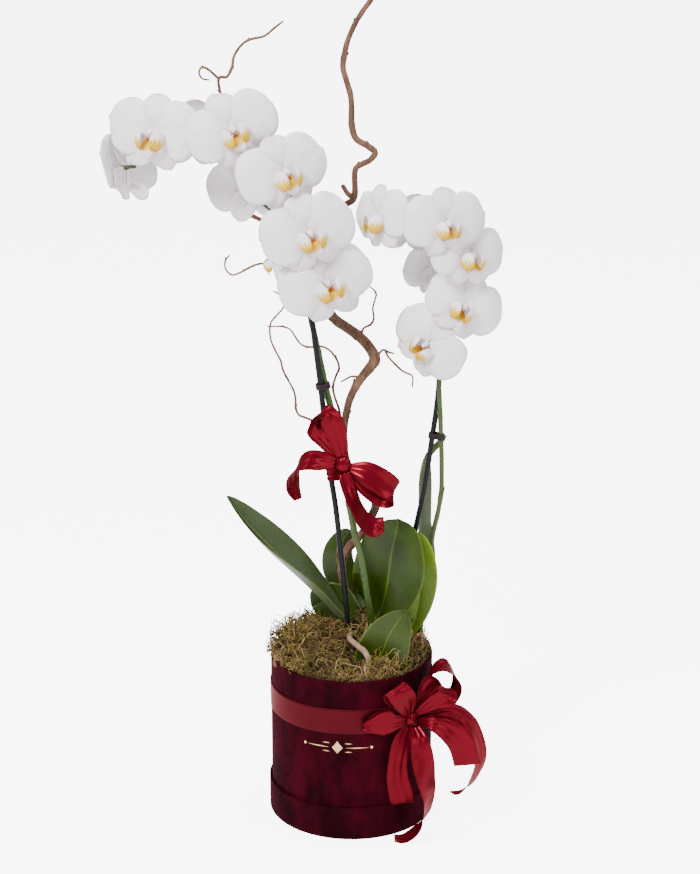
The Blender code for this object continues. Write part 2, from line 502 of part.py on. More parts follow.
def build_box():
    """Build the lid, the box, its lining and the ribbon band, and return the radius inside the lining."""
    cup("lid", BOX_RADIUS + GAP + LID_WALL, LID_WALL, 0.0, LID_WALL, LID_HEIGHT, VELVET)
    floor = LID_WALL + GAP
    cup("box_body", BOX_RADIUS, BOX_WALL, floor, floor + BOX_WALL, BOX_HEIGHT, VELVET)
    liner_radius = BOX_RADIUS - BOX_WALL - GAP
    liner_floor = floor + BOX_WALL + GAP
    liner_top = BOX_HEIGHT + BARK_LEVEL
    cup("liner", liner_radius, LINER_WALL, liner_floor, liner_floor + LINER_WALL, liner_top, LINER)
    band_inner = BOX_RADIUS + GAP
    band_outer = band_inner + RIBBON_THICKNESS
    half = RIBBON_WIDTH / 2
    turned("ribbon_band", [(band_outer, BAND_LEVEL + half), (band_outer, BAND_LEVEL - half),
                           (band_inner, BAND_LEVEL - half), (band_inner, BAND_LEVEL + half),
                           (band_outer, BAND_LEVEL + half)], SATIN)
    bark_radius = liner_radius - LINER_WALL - GAP
    bark = turned("orchid_bark", [(0.0, liner_top), (bark_radius, liner_top),
                                  (bark_radius, liner_floor + LINER_WALL + GAP),
                                  (0.0, liner_floor + LINER_WALL + GAP)], BARK)
    return bark


def moss_height(x, y):
    """Give the height of the moss above the rim, which rises to a lumpy dome."""
    radius = BOX_RADIUS - BOX_WALL
    share = max(0.0, 1.0 - (x * x + y * y) / radius ** 2)
    along, across, slanting = MOSS_WAVES
    lumps = math.sin(x * along + 1.3) * math.cos(y * across - 0.4) + 0.6 * math.sin((x - y) * slanting)
    return MOSS_EDGE_LEVEL + MOSS_DOME * share ** 1.5 + MOSS_LUMPS * lumps * min(1.0, 3 * share)


def build_moss():
    """Build the moss as a disc whose top is a lumpy dome."""
    radius = BOX_RADIUS - BOX_WALL - GAP
    bottom = BARK_LEVEL + GAP
    profile = [(radius * i / MOSS_RINGS, 0.0) for i in range(MOSS_RINGS + 1)]
    profile += [(radius, bottom), (0.0, bottom)]
    moss = turned("moss", profile, MOSS, RIM)
    bpy.context.view_layer.update()
    mesh = bpy.data.meshes.new_from_object(moss.evaluated_get(bpy.context.evaluated_depsgraph_get()))
    moss.modifiers.clear()
    moss.data = mesh
    for vertex in mesh.vertices:
        if vertex.co.z > 0.5 * bottom:
            vertex.co.z = moss_height(vertex.co.x, vertex.co.y)
    return moss


def socket(name, points, targets, resolution, below):
    """Cut a close-fitting socket for the buried stretch of a stem into each target."""
    buried = [p for p in points if p[2] < below / MM]
    x, y, z, radius = buried[0]
    start = (Vector(buried[0][:3]) - Vector(buried[1][:3])).normalized() * (GAP / MM)
    buried[0] = [x + start.x, y + start.y, z + start.z, radius]
    cutter = tube(f"socket_{name}", buried, None, resolution, grow=GAP, collection=CUTTERS, as_curve=False)
    for target in targets:
        boolean(target, cutter, "DIFFERENCE")


def stake_path(points):
    """Give the smooth path of a stake, with its radius in the last column."""
    return smooth_path([(*p, STAKE_RADIUS / MM) for p in points], STAKE_STEP)


def build_supports(bark, moss):
    """Build the stakes and the crowns, which stand in bark and moss."""
    for name, points in STAKES.items():
        path = stake_path(points)
        tube(name, path, STAKE, resolution=1)
        socket(name, path, [bark, moss], 1, STAKE_SOCKET_TOP)
    for name, (x, y, radius, top) in CROWNS.items():
        heights = [(CROWN_FOOT / MM, 0.8), (CROWN_SHOULDER / MM, 1.0),
                   (top - 5, 1.0), (top - 1.5, 0.8), (top, 0.45)]
        path = [(x, y, z, radius * share) for z, share in heights]
        tube(name, path, STEM, resolution=2)
        socket(name, path, [bark, moss], 2, CROWN_SOCKET_TOP)


def build_branch(bark, moss):
    """Build the contorted branch with its twigs as one body."""
    stem_path = smooth_path(BRANCH, BRANCH_STEP)
    stem = tube("contorted_branch", stem_path, WOOD, resolution=1, as_curve=False)
    for i, twig in enumerate(TWIGS):
        path = smooth_path(twig, TWIG_STEP)
        side = tube(f"twig_{i}", path, WOOD, resolution=0, collection=CUTTERS, as_curve=False)
        boolean(stem, side, "UNION")
    socket("branch", stem_path, [bark, moss], 1, BRANCH_SOCKET_TOP)


def facing(yaw, pitch, roll):
    """Give the turn of a blossom: +Z of the blossom looks to the front, and +Y is its upper side."""
    turn = Matrix.Rotation(math.radians(yaw), 4, "Z") @ Matrix.Rotation(math.radians(90 - pitch), 4, "X")
    return turn @ Matrix.Rotation(math.radians(roll), 4, "Z")


def blossom_mesh():
    """Build one blossom of unit width as a single body: five tepals, lip, column and receptacle."""
    thin = FLOWER_THICKNESS / FLOWER_WIDTH
    pieces = []
    for (x, y), (wide, tall), lean in TEPALS:
        place = Matrix.Translation((x, y, 0)) @ Matrix.Rotation(math.radians(lean), 4, "Z")
        pieces.append((place @ Matrix.Diagonal((wide, tall, thin / 2, 1)), 8, 2))
    for centre, radii in HEART:
        pieces.append((Matrix.Translation(centre) @ Matrix.Diagonal((*radii, 1)), 6, 3))
    bodies = []
    for i, (matrix, around, up) in enumerate(pieces):
        bm = bmesh.new()
        bmesh.ops.create_uvsphere(bm, u_segments=around, v_segments=up, radius=1.0, matrix=matrix)
        bodies.append(from_bmesh(f"blossom_piece_{i}", bm, PETAL, collection=CUTTERS))
    bm = bmesh.new()
    radius = RECEPTACLE_RADIUS / FLOWER_WIDTH
    back = RECEPTACLE_BACK / FLOWER_WIDTH
    bmesh.ops.create_cone(bm, cap_ends=True, segments=6, radius1=radius, radius2=radius, depth=back,
                          matrix=Matrix.Translation((0, 0, -back / 2)))
    base = from_bmesh("blossom_base", bm, PETAL, collection=CUTTERS)
    for body in bodies:
        boolean(base, body, "UNION")
    bpy.context.view_layer.update()
    mesh = bpy.data.meshes.new_from_object(base.evaluated_get(bpy.context.evaluated_depsgraph_get()))
    for obj in [base, *bodies]:
        bpy.data.objects.remove(obj, do_unlink=True)
    mesh.name = "blossom"
    return mesh


def build_blossoms():
    """Place every blossom and return the pedicels that reach them, by spike."""
    mesh = blossom_mesh()
    mesh.materials.clear()
    mesh.materials.append(PETAL)
    pedicels = {name: [] for name in SPIKES}
    for name, (spike, start, centre, width, yaw, pitch, roll) in BLOSSOMS.items():
        obj = link(bpy.data.objects.new(name, mesh), PARTS, None, RIM)
        turn = facing(yaw, pitch, roll)
        scale = width * MM
        obj.matrix_local = Matrix.Translation(Vector(centre) * MM) @ turn @ Matrix.Scale(scale, 4)
        front = (turn @ Vector((0, 0, 1))).normalized()
        back = RECEPTACLE_BACK * width * MM / FLOWER_WIDTH
        end = Vector(centre) - front * (back + GAP) / MM
        before = end - front * PEDICEL_STRAIGHT / MM
        bend = Vector(start).lerp(before, 0.5) - front * 2
        path = smooth_path([tuple(start), tuple(bend), tuple(before)], PEDICEL_STEP) + [list(end)]
        pedicels[spike].append([(*p, PEDICEL_RADIUS / MM) for p in path])
    return pedicels


def build_spikes(moss, pedicels):
    """Build each flower spike as one body with its pedicels."""
    for name, points in SPIKES.items():
        path = smooth_path(points, SPIKE_STEP)
        spike = tube(name, path, STEM, resolution=1, as_curve=False)
        for i, side in enumerate(pedicels[name]):
            label = f"{name}_pedicel_{i}"
            stalk = tube(label, side, STEM, resolution=0, collection=CUTTERS, as_curve=False)
            boolean(spike, stalk, "UNION")
        socket(name, path, [moss], 1, SPIKE_SOCKET_TOP)


def build_leaves():
    """Build each leaf as a thin folded blade that starts at its crown."""
    for name, (points, base, middle, tip, width, fold) in LEAVES.items():
        path = smooth_path(points, LEAF_STEP)
        centres = [Vector(p) * MM for p in path]
        sides = [Vector(side).normalized() for side in (base, middle, tip)]
        halves = []
        for i in range(len(path)):
            s = i / (len(path) - 1)
            side = sides[0].lerp(sides[1], 2 * s) if s < 0.5 else sides[1].lerp(sides[2], 2 * s - 1)
            along = centres[min(i + 1, len(path) - 1)] - centres[max(i - 1, 0)]
            side -= along.normalized() * side.dot(along.normalized())
            halves.append(side.normalized() * leaf_share(s) * width / 2 * MM)
        strip(name, centres, halves, LEAF_THICKNESS, LEAF, RIM, across=2, fold=fold * MM)


def leaf_share(s):
    """Give the width of a leaf at a share of its length, as a share of its widest place."""
    if s < LEAF_WIDEST:
        return LEAF_BASE_SHARE + (1 - LEAF_BASE_SHARE) * math.sin(0.5 * math.pi * s / LEAF_WIDEST)
    past = (s - LEAF_WIDEST) / (1 - LEAF_WIDEST)
    return max(LEAF_TIP_SHARE, math.sqrt(max(0.0, 1.0 - past ** 2)))


def build_roots(moss):
    """Build the aerial roots, which dip into the moss."""
    for name, (points, radius) in ROOTS.items():
        path = smooth_path([(*p, radius) for p in points], ROOT_STEP)
        root = tube(name, path, ROOT, resolution=1)
        cutter = tube(f"groove_{name}", path, None, 1, grow=GAP, collection=CUTTERS, as_curve=False)
        boolean(moss, cutter, "DIFFERENCE")


def ribbon(name, stations, parent, place):
    """Build a length of ribbon from its stations. place turns a station's point into metres."""
    rows = [(*point, *Vector(side).normalized(), share) for point, side, share in stations]
    path = smooth_path(rows, RIBBON_STEP)
    centres = [place(Vector(row[:3])) for row in path]
    halves = []
    for i, row in enumerate(path):
        side = place(Vector(row[:3]) + Vector(row[3:6])) - centres[i]
        along = (centres[min(i + 1, len(path) - 1)] - centres[max(i - 1, 0)]).normalized()
        side = (side - along * side.dot(along)).normalized()
        halves.append(side * RIBBON_WIDTH / 2 * min(1.0, row[6]))
    return strip(name, centres, halves, RIBBON_THICKNESS, SATIN, parent)


def on_band(point):
    """Turn a place along the band, out from the wall and up from the band's middle into metres."""
    angle = BOW_BEARING + point.x * MM / BOX_RADIUS
    reach = BOX_RADIUS + point.y * MM
    return Vector((reach * math.cos(angle), reach * math.sin(angle), BAND_LEVEL + point.z * MM))


def build_bows():
    """Build the bow on the box and the bow on the stems, each round its knot."""
    for name, stations in BOX_BOW.items():
        ribbon(name, stations, None, on_band)
    knot = ellipsoid("box_bow_knot", (0, 0, 0), KNOT_SIZE, SATIN, None)
    knot.location = on_band(Vector(BOX_KNOT))
    knot.rotation_euler = (0.0, 0.0, BOW_BEARING + math.pi / 2)
    for name, stations in STEM_BOW.items():
        ribbon(name, stations, RIM, lambda point: point * MM)
    ellipsoid("stem_bow_knot", STEM_KNOT, KNOT_SIZE, SATIN, RIM)


def at_level(points, level):
    """Find where a path crosses a level, in millimetres."""
    for a, b in zip(points, points[1:]):
        if a[2] <= level <= b[2]:
            t = (level - a[2]) / (b[2] - a[2])
            return Vector([p + (q - p) * t for p, q in zip(a[:3], b[:3])])
    raise ValueError(level)


def collar(name, stake, spike, level, height, wall, play, material):
    """Build a flat-sided ring that holds a stake and a spike together at a level."""
    low = [at_level(path, (level - height / 2) / MM) for path in (stake, spike)]
    high = [at_level(path, (level + height / 2) / MM) for path in (stake, spike)]
    inner = max(p[3] for p in stake + spike if abs(p[2] - level / MM) < COLLAR_REACH) + play / MM
    outer = inner + wall / MM
    bm = bmesh.new()
    rings = []
    for grow, (first, second) in ((inner, low), (outer, low), (outer, high), (inner, high)):
        along = (second - first).normalized()
        start = math.atan2(along.y, along.x)
        ring = []
        for centre, turn in ((first, math.pi / 2), (second, -math.pi / 2)):
            for k in range(COLLAR_STEPS + 1):
                angle = start + turn + math.pi * k / COLLAR_STEPS
                out = Vector((math.cos(angle), math.sin(angle), 0.0)) * grow
                ring.append(bm.verts.new((centre + out) * MM))
        rings.append(ring)
    count = len(rings[0])
    for a, b in zip(rings, rings[1:] + rings[:1]):
        for k in range(count):
            bm.faces.new((a[k], b[k], b[(k + 1) % count], a[(k + 1) % count]))
    bmesh.ops.recalc_face_normals(bm, faces=bm.faces)
    return from_bmesh(name, bm, material, RIM)


def build_ties():
    """Build the plant clips and the ribbon that wraps the front stems."""
    stakes = {name: stake_path(points) for name, points in STAKES.items()}
    spikes = {name: smooth_path(points, SPIKE_STEP) for name, points in SPIKES.items()}
    front = (stakes["stake_front"], spikes["spike_front"])
    back = (stakes["stake_back"], spikes["spike_back"])
    collar("clip_front", *front, CLIP_FRONT_LEVEL, CLIP_HEIGHT, CLIP_WALL, CLIP_PLAY, STAKE)
    collar("clip_back", *back, CLIP_BACK_LEVEL, CLIP_HEIGHT, CLIP_WALL, CLIP_PLAY, STAKE)
    collar("stem_bow_wrap", *front, TIE_LEVEL, TIE_HEIGHT, TIE_WALL, TIE_PLAY, SATIN)


def main():
    """Build the whole object."""
    bark = build_box()
    moss = build_moss()
    build_supports(bark, moss)
    build_branch(bark, moss)
    build_roots(moss)
    build_spikes(moss, build_blossoms())
    build_leaves()
    build_ties()
    build_bows()


main()
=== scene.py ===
import logging
import math
from dataclasses import dataclass
from enum import Enum
from typing import Any, Callable, Sequence

import bmesh
import bpy
import numpy as np
from mathutils import Matrix, Vector


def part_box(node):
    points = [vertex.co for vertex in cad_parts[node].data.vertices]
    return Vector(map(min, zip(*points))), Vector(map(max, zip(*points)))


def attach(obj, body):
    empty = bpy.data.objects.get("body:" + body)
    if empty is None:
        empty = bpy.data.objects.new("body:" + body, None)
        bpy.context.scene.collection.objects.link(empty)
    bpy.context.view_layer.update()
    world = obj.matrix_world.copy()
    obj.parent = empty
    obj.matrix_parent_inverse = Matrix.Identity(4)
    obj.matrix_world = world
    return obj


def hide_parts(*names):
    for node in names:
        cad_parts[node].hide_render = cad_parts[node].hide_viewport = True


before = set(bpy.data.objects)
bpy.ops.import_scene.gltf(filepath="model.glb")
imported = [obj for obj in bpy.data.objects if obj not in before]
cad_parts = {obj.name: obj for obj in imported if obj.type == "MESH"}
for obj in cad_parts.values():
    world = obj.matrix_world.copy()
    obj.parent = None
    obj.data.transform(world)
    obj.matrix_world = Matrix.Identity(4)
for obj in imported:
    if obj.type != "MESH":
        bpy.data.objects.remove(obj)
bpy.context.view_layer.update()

# Orchid in a box: moth orchids and a contorted willow branch in a velvet hat box with satin bows.
# Metres, +Z up, -Y is the front. Plant tables are in millimetres from the middle of the box's rim.

LOG = logging.getLogger("orchid_in_a_box")
MM = 0.001
BODY = "root"

Station = tuple[tuple[float, ...], tuple[float, ...], float]
Place = Callable[[np.ndarray], np.ndarray]
Colour = tuple[float, float, float]
Socket = bpy.types.NodeSocket

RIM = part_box("box_body")[1][2]
BOX_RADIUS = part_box("box_body")[1][0]
BAND_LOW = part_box("ribbon_band")[0][2]
BAND_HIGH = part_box("ribbon_band")[1][2]
BAND_LEVEL = (BAND_LOW + BAND_HIGH) / 2
BOW_BEARING = math.radians(-46.0)
RIBBON_WIDTH = 26.5
KNOT_SIZE = (7.0, 5.2, 8.5)
KNOT_GAP = 0.5
STEM_KNOT = (-8.0, -13.6, 197.0)
TIE_LEVEL = 190.0
BOX_KNOT = (-3.0, 6.5, -3.0)
FLOWER_WIDTH = 88.0
RECEPTACLE_BACK = 8.5
SPIRAL = 2.4
CROWNS = ("crown_front", "crown_back", "crown_offshoot")

STAKES = {
    "stake_front": [(1, 2, -62), (-3, -1, 20), (-14, -7, 139), (-21, -8, 189), (-25, -8, 229),
                    (-30, -8, 278), (-36, -8, 327), (-40, -8, 351)],
    "stake_back": [(49, 40, -58), (52, 38, 20), (58, 36.5, 80), (63, 34, 113), (71, 32, 155),
                   (78, 30, 207), (83, 28, 248), (85, 28, 278)],
}

# Flower spikes as x, y, z and radius, with the spots that their pedicels leave from
SPIKES = {
    "spike_front": [(18, 2.8, 10, 3.3), (19, -1, 30, 3.4), (18, -6, 44, 3.3), (15, -10, 63, 3.3),
                    (9, -11, 103, 3.3), (2, -9, 130, 3.3), (-4, -5, 166, 3.3), (-6, -2, 186, 3.2),
                    (-11, -1, 216, 3.2), (-18, -1, 242, 3.2), (-25, -1, 271, 3.2), (-31, 0, 300, 3.1),
                    (-36, 0, 325, 3.0), (-41, 2, 348, 3.0), (-47, 4, 372, 2.9), (-57, 6, 409, 2.8),
                    (-77, 6, 453, 2.7), (-94, 4, 473, 2.6), (-111, 2, 489, 2.5), (-130, 0, 503, 2.4),
                    (-152, 0, 514, 2.3), (-175, 1, 518, 2.2), (-190, 2, 516, 2.0)],
    "spike_back": [(68.5, 23, 5, 2.6), (70, 24, 25, 2.6), (71, 26, 52, 2.5), (74, 26, 74, 2.5),
                   (78, 26, 96, 2.5), (81, 26, 116, 2.5), (85, 26, 135, 2.5), (88, 26, 158, 2.4),
                   (88, 26, 178, 2.4), (87, 24, 209, 2.4), (85, 22, 250, 2.3), (84, 22, 270, 2.3),
                   (85, 22, 305, 2.2), (87, 22, 335, 2.2), (88, 20, 359, 2.1), (87, 16, 383, 2.0),
                   (81, 12, 406, 1.9), (67, 10, 422, 1.8), (51, 8, 428, 1.6)],
}

# Blossoms: spike, start of the pedicel, centre, width, then yaw, upward pitch and roll in degrees
BLOSSOMS = {
    "blossom_left_1": ("spike_front", (-160, 0, 515.5), (-181, -14, 512), 88, -14, 8, -5),
    "blossom_left_2": ("spike_front", (-118, 1.5, 494.5), (-108, -22, 516), 86, 8, 8, 24),
    "blossom_left_3": ("spike_front", (-84, 5, 461.5), (-61, -30, 479), 86, 22, 8, 16),
    "blossom_left_4": ("spike_front", (-53, 5.5, 395), (-39, -41, 425), 90, 14, 8, 16),
    "blossom_left_5": ("spike_front", (-41, 2, 348), (-23, -36, 378), 90, 12, 8, 20),
    "blossom_left_6": ("spike_front", (-188, 2, 516), (-211, 14, 476), 84, -118, -14, 10),
    "blossom_left_7": ("spike_front", (-67, 6, 432), (-95, 25, 456), 80, 172, 6, -12),
    "blossom_left_8": ("spike_front", (-48, 4, 376), (-72, 2, 390), 50, -84, 4, 0),
    "blossom_left_9": ("spike_front", (-140, 0, 508.5), (-146, 22, 508), 78, 184, 6, 6),
    "blossom_right_1": ("spike_back", (84.3, 22, 281), (71, -10, 314), 78, -25, 6, -45),
    "blossom_right_2": ("spike_back", (86, 22, 320), (104, -19, 352), 76, 6, 6, -28),
    "blossom_right_3": ("spike_back", (87.5, 18, 371), (109, -27, 402), 76, 25, 6, -6),
    "blossom_right_4": ("spike_back", (76, 11, 413), (86, -40, 434), 78, 17, 6, 4),
    "blossom_right_5": ("spike_back", (53, 8, 427.5), (24, -14, 434), 74, -50, 4, 8),
    "blossom_right_6": ("spike_back", (62, 9.4, 424), (54, 30, 423), 70, 190, 4, 10),
    "blossom_right_7": ("spike_back", (87.5, 18.5, 369), (80, 36, 379), 66, 194, 4, -8),
}

# Leaves: points of the midrib, side direction at the base, middle and tip, width and fold depth
LEAVES = {
    "leaf_long_left": ([(-1.5, 9.5, 21), (-14, 6, 34.5), (-33, 3, 58), (-54, -2, 83), (-77, -7, 108),
                        (-97, -11, 132), (-110, -13, 150), (-120, -14, 165)],
                       (0.1, 1, 0.1), (0.45, 0.85, 0.35), (0.62, 0.55, 0.45), 48, 7),
    "leaf_back_left": ([(9, 21.5, 16), (9, 38, 28), (-3, 50, 45), (-13, 53, 64), (-14, 53, 82),
                        (-8, 54, 96), (0, 54, 106)],
                       (-1, 0, 0.1), (-1, 0.1, -0.1), (-0.9, 0.2, 0.4), 34, 4),
    "leaf_low_left": ([(0.2, 17, 23), (-9, 20, 35), (-20, 22.5, 40), (-30, 23.5, 40), (-40, 24, 36)],
                      (0.1, 0.1, 1), (0, 0.15, 1), (-0.3, 0.1, 1), 44, 1.5),
    "leaf_broad_front": ([(16.8, 15.6, 20), (26, 14, 30), (32, 10, 48), (36, 6, 74), (39, 5, 100),
                          (43, 6, 119), (46, 8, 134)],
                         (0.5, -0.9, 0), (1, -0.12, -0.05), (1, 0, -0.1), 72, 5),
    "leaf_broad_right": ([(58.4, 14.0, 11), (62, 12.5, 22), (66, 14, 42), (68, 16, 68), (67, 18, 94),
                          (65, 19, 116)],
                         (1, 0, 0), (1, 0.05, 0), (1, 0, 0.3), 34, 3),
    "leaf_offshoot": ([(25, -43, -2), (28, -46, 10), (31, -48, 22), (36, -50, 36), (43, -50, 48),
                       (51, -49, 61)],
                      (0.95, -0.12, 0.0), (0.92, -0.05, -0.22), (0.8, 0.1, -0.5), 52, 4),
    "leaf_tall_right": ([(60, 29.8, 10), (65, 42, 30), (68, 52, 62), (69, 56, 104), (69, 58, 140),
                         (70, 59, 170), (78, 57, 190), (94, 51, 206)],
                        (1, -0.3, 0), (0.35, 0.9, 0), (0.3, 0.6, 0.7), 40, 4),
}

ROOTS = {
    "root_front": ([(3, 1, 16), (-1, -16, 22), (-1.5, -36, 26), (5, -52, 26.5), (13.5, -60, 21.5),
                    (16, -62, 13), (11.5, -63, 3)], 2.1),
    "root_right": ([(64.5, 11, 8), (69, 5, 14), (71, 1, 12), (69, -4, 6), (67, -8, 0)], 1.7),
}

# Branch: x, y, z and radius along the stem and along each twig, which starts inside the stem
BRANCH = [(-3, 31, -66, 3.8), (-3, 31, -20, 3.8), (-3, 31, 12, 3.8), (-4, 31, 32, 3.8),
          (-6, 30, 52, 3.9), (-10, 28, 70, 3.9), (-8, 24, 87, 4.0), (-2, 22, 100, 4.0),
          (6, 24, 108, 4.1), (14, 26, 118, 4.2), (20, 27, 131, 4.4), (24, 26, 142, 4.4),
          (21, 23, 157, 4.2), (10, 20, 172, 3.6), (-2, 17, 186, 3.0), (-6, 15, 201, 2.6),
          (-7, 14, 217, 2.8), (-6, 14, 232, 3.3), (-3, 13, 250, 3.7), (3, 12, 265, 4.0),
          (10, 12, 276, 4.3), (18, 12, 286, 4.9), (22, 12, 294, 5.2), (18, 14, 303, 5.1),
          (9, 18, 313, 5.0), (-4, 22, 322, 5.0), (-14, 24, 328, 4.7), (-21, 26, 335, 4.4),
          (-27, 28, 345, 4.3), (-34, 30, 361, 4.0), (-32, 32, 383, 3.6), (-21, 34, 404, 3.2),
          (-13, 34, 423, 3.0), (-7, 34, 437, 2.9), (0, 32, 442, 2.9), (3, 30, 449, 2.9),
          (3, 28, 471, 2.7), (9, 28, 477, 2.8), (17, 28, 481, 2.9), (22, 28, 488, 3.0),
          (15, 28, 494, 3.0), (4, 28, 501, 3.0), (0, 28, 514, 3.0), (0, 28, 529, 2.9),
          (-1, 28, 541, 2.8), (-5, 28, 555, 2.8), (-8, 28, 567, 2.7), (-6, 28, 582, 2.7),
          (-3, 28, 593, 2.6), (3, 28, 606, 2.5), (10, 28, 617, 2.5), (18, 28, 628, 2.4),
          (24, 28, 641, 2.3)]
TWIGS = [
    [(-10, 28, 71, 1.6), (-12, 22, 80, 1.2), (-14, 17, 92, 0.9), (-14, 14, 102, 0.7)],
    [(1, 31, 446, 2.6), (-4, 28, 450, 2.5), (-8, 24, 457, 2.2)],
    [(-32, 32, 383, 2.5), (-49, 38, 404, 2.2), (-73, 41, 417, 2.1), (-90, 42, 424, 2.1),
     (-102, 41, 432, 1.9), (-109, 38, 447, 1.7), (-111, 36, 466, 1.6), (-109, 36, 489, 1.5),
     (-113, 37, 513, 1.4), (-120, 34, 536, 1.4), (-123, 30, 552, 1.4), (-121, 27, 558, 1.4),
     (-115, 26, 558, 1.4), (-110, 26, 567, 1.4), (-108, 26, 577, 1.3), (-101, 26, 587, 1.3),
     (-93, 26, 592, 1.3), (-80, 26, 595, 1.2), (-71, 26, 602, 1.1), (-63, 26, 608, 0.9)],
    [(-122.5, 29, 556, 1.3), (-132, 25, 565, 1.2), (-138, 22, 567, 1.1), (-140, 20, 562, 1.0),
     (-137, 20, 557, 0.9), (-131, 20, 556, 0.8)],
    [(-34, 30, 361, 1.6), (-56, 38, 373, 1.3), (-74, 40, 380, 1.2), (-87, 32, 382, 1.1),
     (-95, 23, 381, 1.1), (-104, 18, 377, 1.0), (-113, 18, 374, 1.0), (-119, 18, 380, 0.9),
     (-119, 18, 388, 0.9), (-115, 18, 393, 0.7)],
    [(-3, 17, 187, 1.5), (-18, 19, 199, 1.4), (-29, 20, 215, 1.3), (-37, 20, 229, 1.3),
     (-44, 20, 233, 1.2), (-51, 20, 236, 1.2), (-54, 20, 243, 1.2), (-54, 20, 252, 1.2),
     (-56, 20, 261, 1.1), (-61, 20, 271, 1.1), (-66, 20, 281, 1.1), (-68, 20, 290, 1.1),
     (-72, 20, 298, 1.0), (-77, 20, 310, 1.0), (-78, 20, 322, 1.0), (-76, 20, 329, 0.9),
     (-70, 20, 336, 0.9), (-65, 20, 342, 0.9), (-64, 20, 349, 0.8), (-69, 20, 355, 0.8),
     (-74, 20, 358, 0.7)],
    [(-7, 14, 216, 1.5), (-10, 16, 227, 1.3), (-12, 19, 241, 1.3), (-16, 20, 253, 1.2),
     (-18, 20, 264, 1.2), (-15, 20, 275, 1.2), (-12, 20, 283, 1.2), (-15, 22, 292, 1.1),
     (-22, 24, 300, 1.1), (-31, 26, 303, 1.1), (-40, 26, 302, 1.1), (-48, 27, 304, 1.0),
     (-54, 29, 311, 1.0), (-59, 31, 318, 0.9), (-67, 31, 321, 0.9), (-80, 31, 321, 0.8)],
    [(9, 18, 313, 1.4), (11, 18, 322, 1.2), (18, 18, 326, 1.2), (21, 18, 332, 1.1),
     (20, 18, 342, 1.0), (22, 18, 350, 0.9), (23, 18, 357, 0.9), (16, 18, 364, 0.7)],
    [(22, 12, 294, 1.5), (27, 12, 300, 1.3), (30, 12, 303, 1.3), (34, 12, 301, 1.2),
     (40, 12, 299, 0.9)],
    [(32, 12, 302, 1.2), (35, 12, 296, 1.1), (43, 12, 287, 1.1), (50, 12, 281, 1.0),
     (58, 12, 277, 0.9), (58, 12, 266, 0.8)],
    [(10, 12, 276, 1.4), (4, 10, 277, 1.2), (-1, 10, 277, 1.1), (-6, 10, 274, 1.0),
     (-10, 10, 272, 0.8)],
]


def knot_exit(knot: tuple[float, ...], *direction: float) -> tuple[float, ...]:
    """Give the point where ribbon leaves a knot.

    Args:
        knot: The middle of the knot, in millimetres.
        direction: The way out of the knot, of any length.

    Returns:
        The point, a knot's gap outside the knot.
    """
    unit = Vector(direction).normalized()
    return tuple(middle + (size + KNOT_GAP) * out for middle, size, out in zip(knot, KNOT_SIZE, unit))


# Stem bow: stations along each length of ribbon, as a point, the direction across and a share of the width
STEM_BOW = {
    "stem_bow_loop_upper": [
        (knot_exit(STEM_KNOT, -0.1, -0.4, 0.9), (0.7, 0.1, -0.2), 0.3),
        ((-12, -18, 221), (0.8, 0.2, 0.1), 0.55), ((-18, -22, 240), (0.8, 0.3, 0.25), 0.75),
        ((-26, -23.5, 251), (0.6, 0.7, 0.3), 0.65), ((-34, -22, 243), (0.35, 0.8, -0.3), 0.65),
        ((-32, -19, 228), (0.8, 0.1, -0.4), 0.6), ((-22, -16, 215), (0.7, 0.1, -0.6), 0.45),
        (knot_exit(STEM_KNOT, -0.7, 0, 0.7), (0.7, 0, -0.6), 0.2)],
    "stem_bow_loop_right": [
        (knot_exit(STEM_KNOT, 0.85, -0.3, -0.35), (0, 0.2, 1), 0.2),
        ((14, -20, 191), (0.3, 0.2, 0.9), 0.7), ((30, -22, 181), (0.3, 0.1, 0.9), 0.9),
        ((41, -17, 169), (0.2, 0.4, 0.9), 0.8), ((32, -10, 163), (0.1, 0.4, 0.9), 0.8),
        ((15, -9, 172), (0.2, 0.2, 0.9), 0.6),
        (knot_exit(STEM_KNOT, 0.6, 0.5, -0.7), (0.6, 0, 0.6), 0.15)],
    "stem_bow_tail_left": [
        (knot_exit(STEM_KNOT, -1, -0.2, 0.1), (0, 0.1, 1), 0.3), ((-28, -19, 202), (0.05, 0.45, 0.9), 0.6),
        ((-41, -22, 203), (0.2, 0.75, 0.6), 0.75), ((-51, -23, 197), (0.35, 0.8, 0.45), 0.8),
        ((-56, -23, 186), (0.5, 0.85, 0.15), 0.8), ((-55, -22, 174), (0.52, 0.85, 0), 0.7),
        ((-51, -22, 164), (0.5, 0.85, 0), 0.4)],
    "stem_bow_tail_right": [
        (knot_exit(STEM_KNOT, 0.1, -0.3, -0.9), (1, 0.2, 0), 0.3), ((-2, -21, 173), (0.6, 0.7, 0.1), 0.6),
        ((4, -24, 158), (0.45, 0.85, 0.1), 0.8), ((11, -25, 145), (0.4, 0.85, 0.3), 0.9),
        ((20, -24, 137), (0.2, 0.75, 0.6), 0.85), ((31, -22, 139), (0, 0.8, 0.6), 0.5)],
}

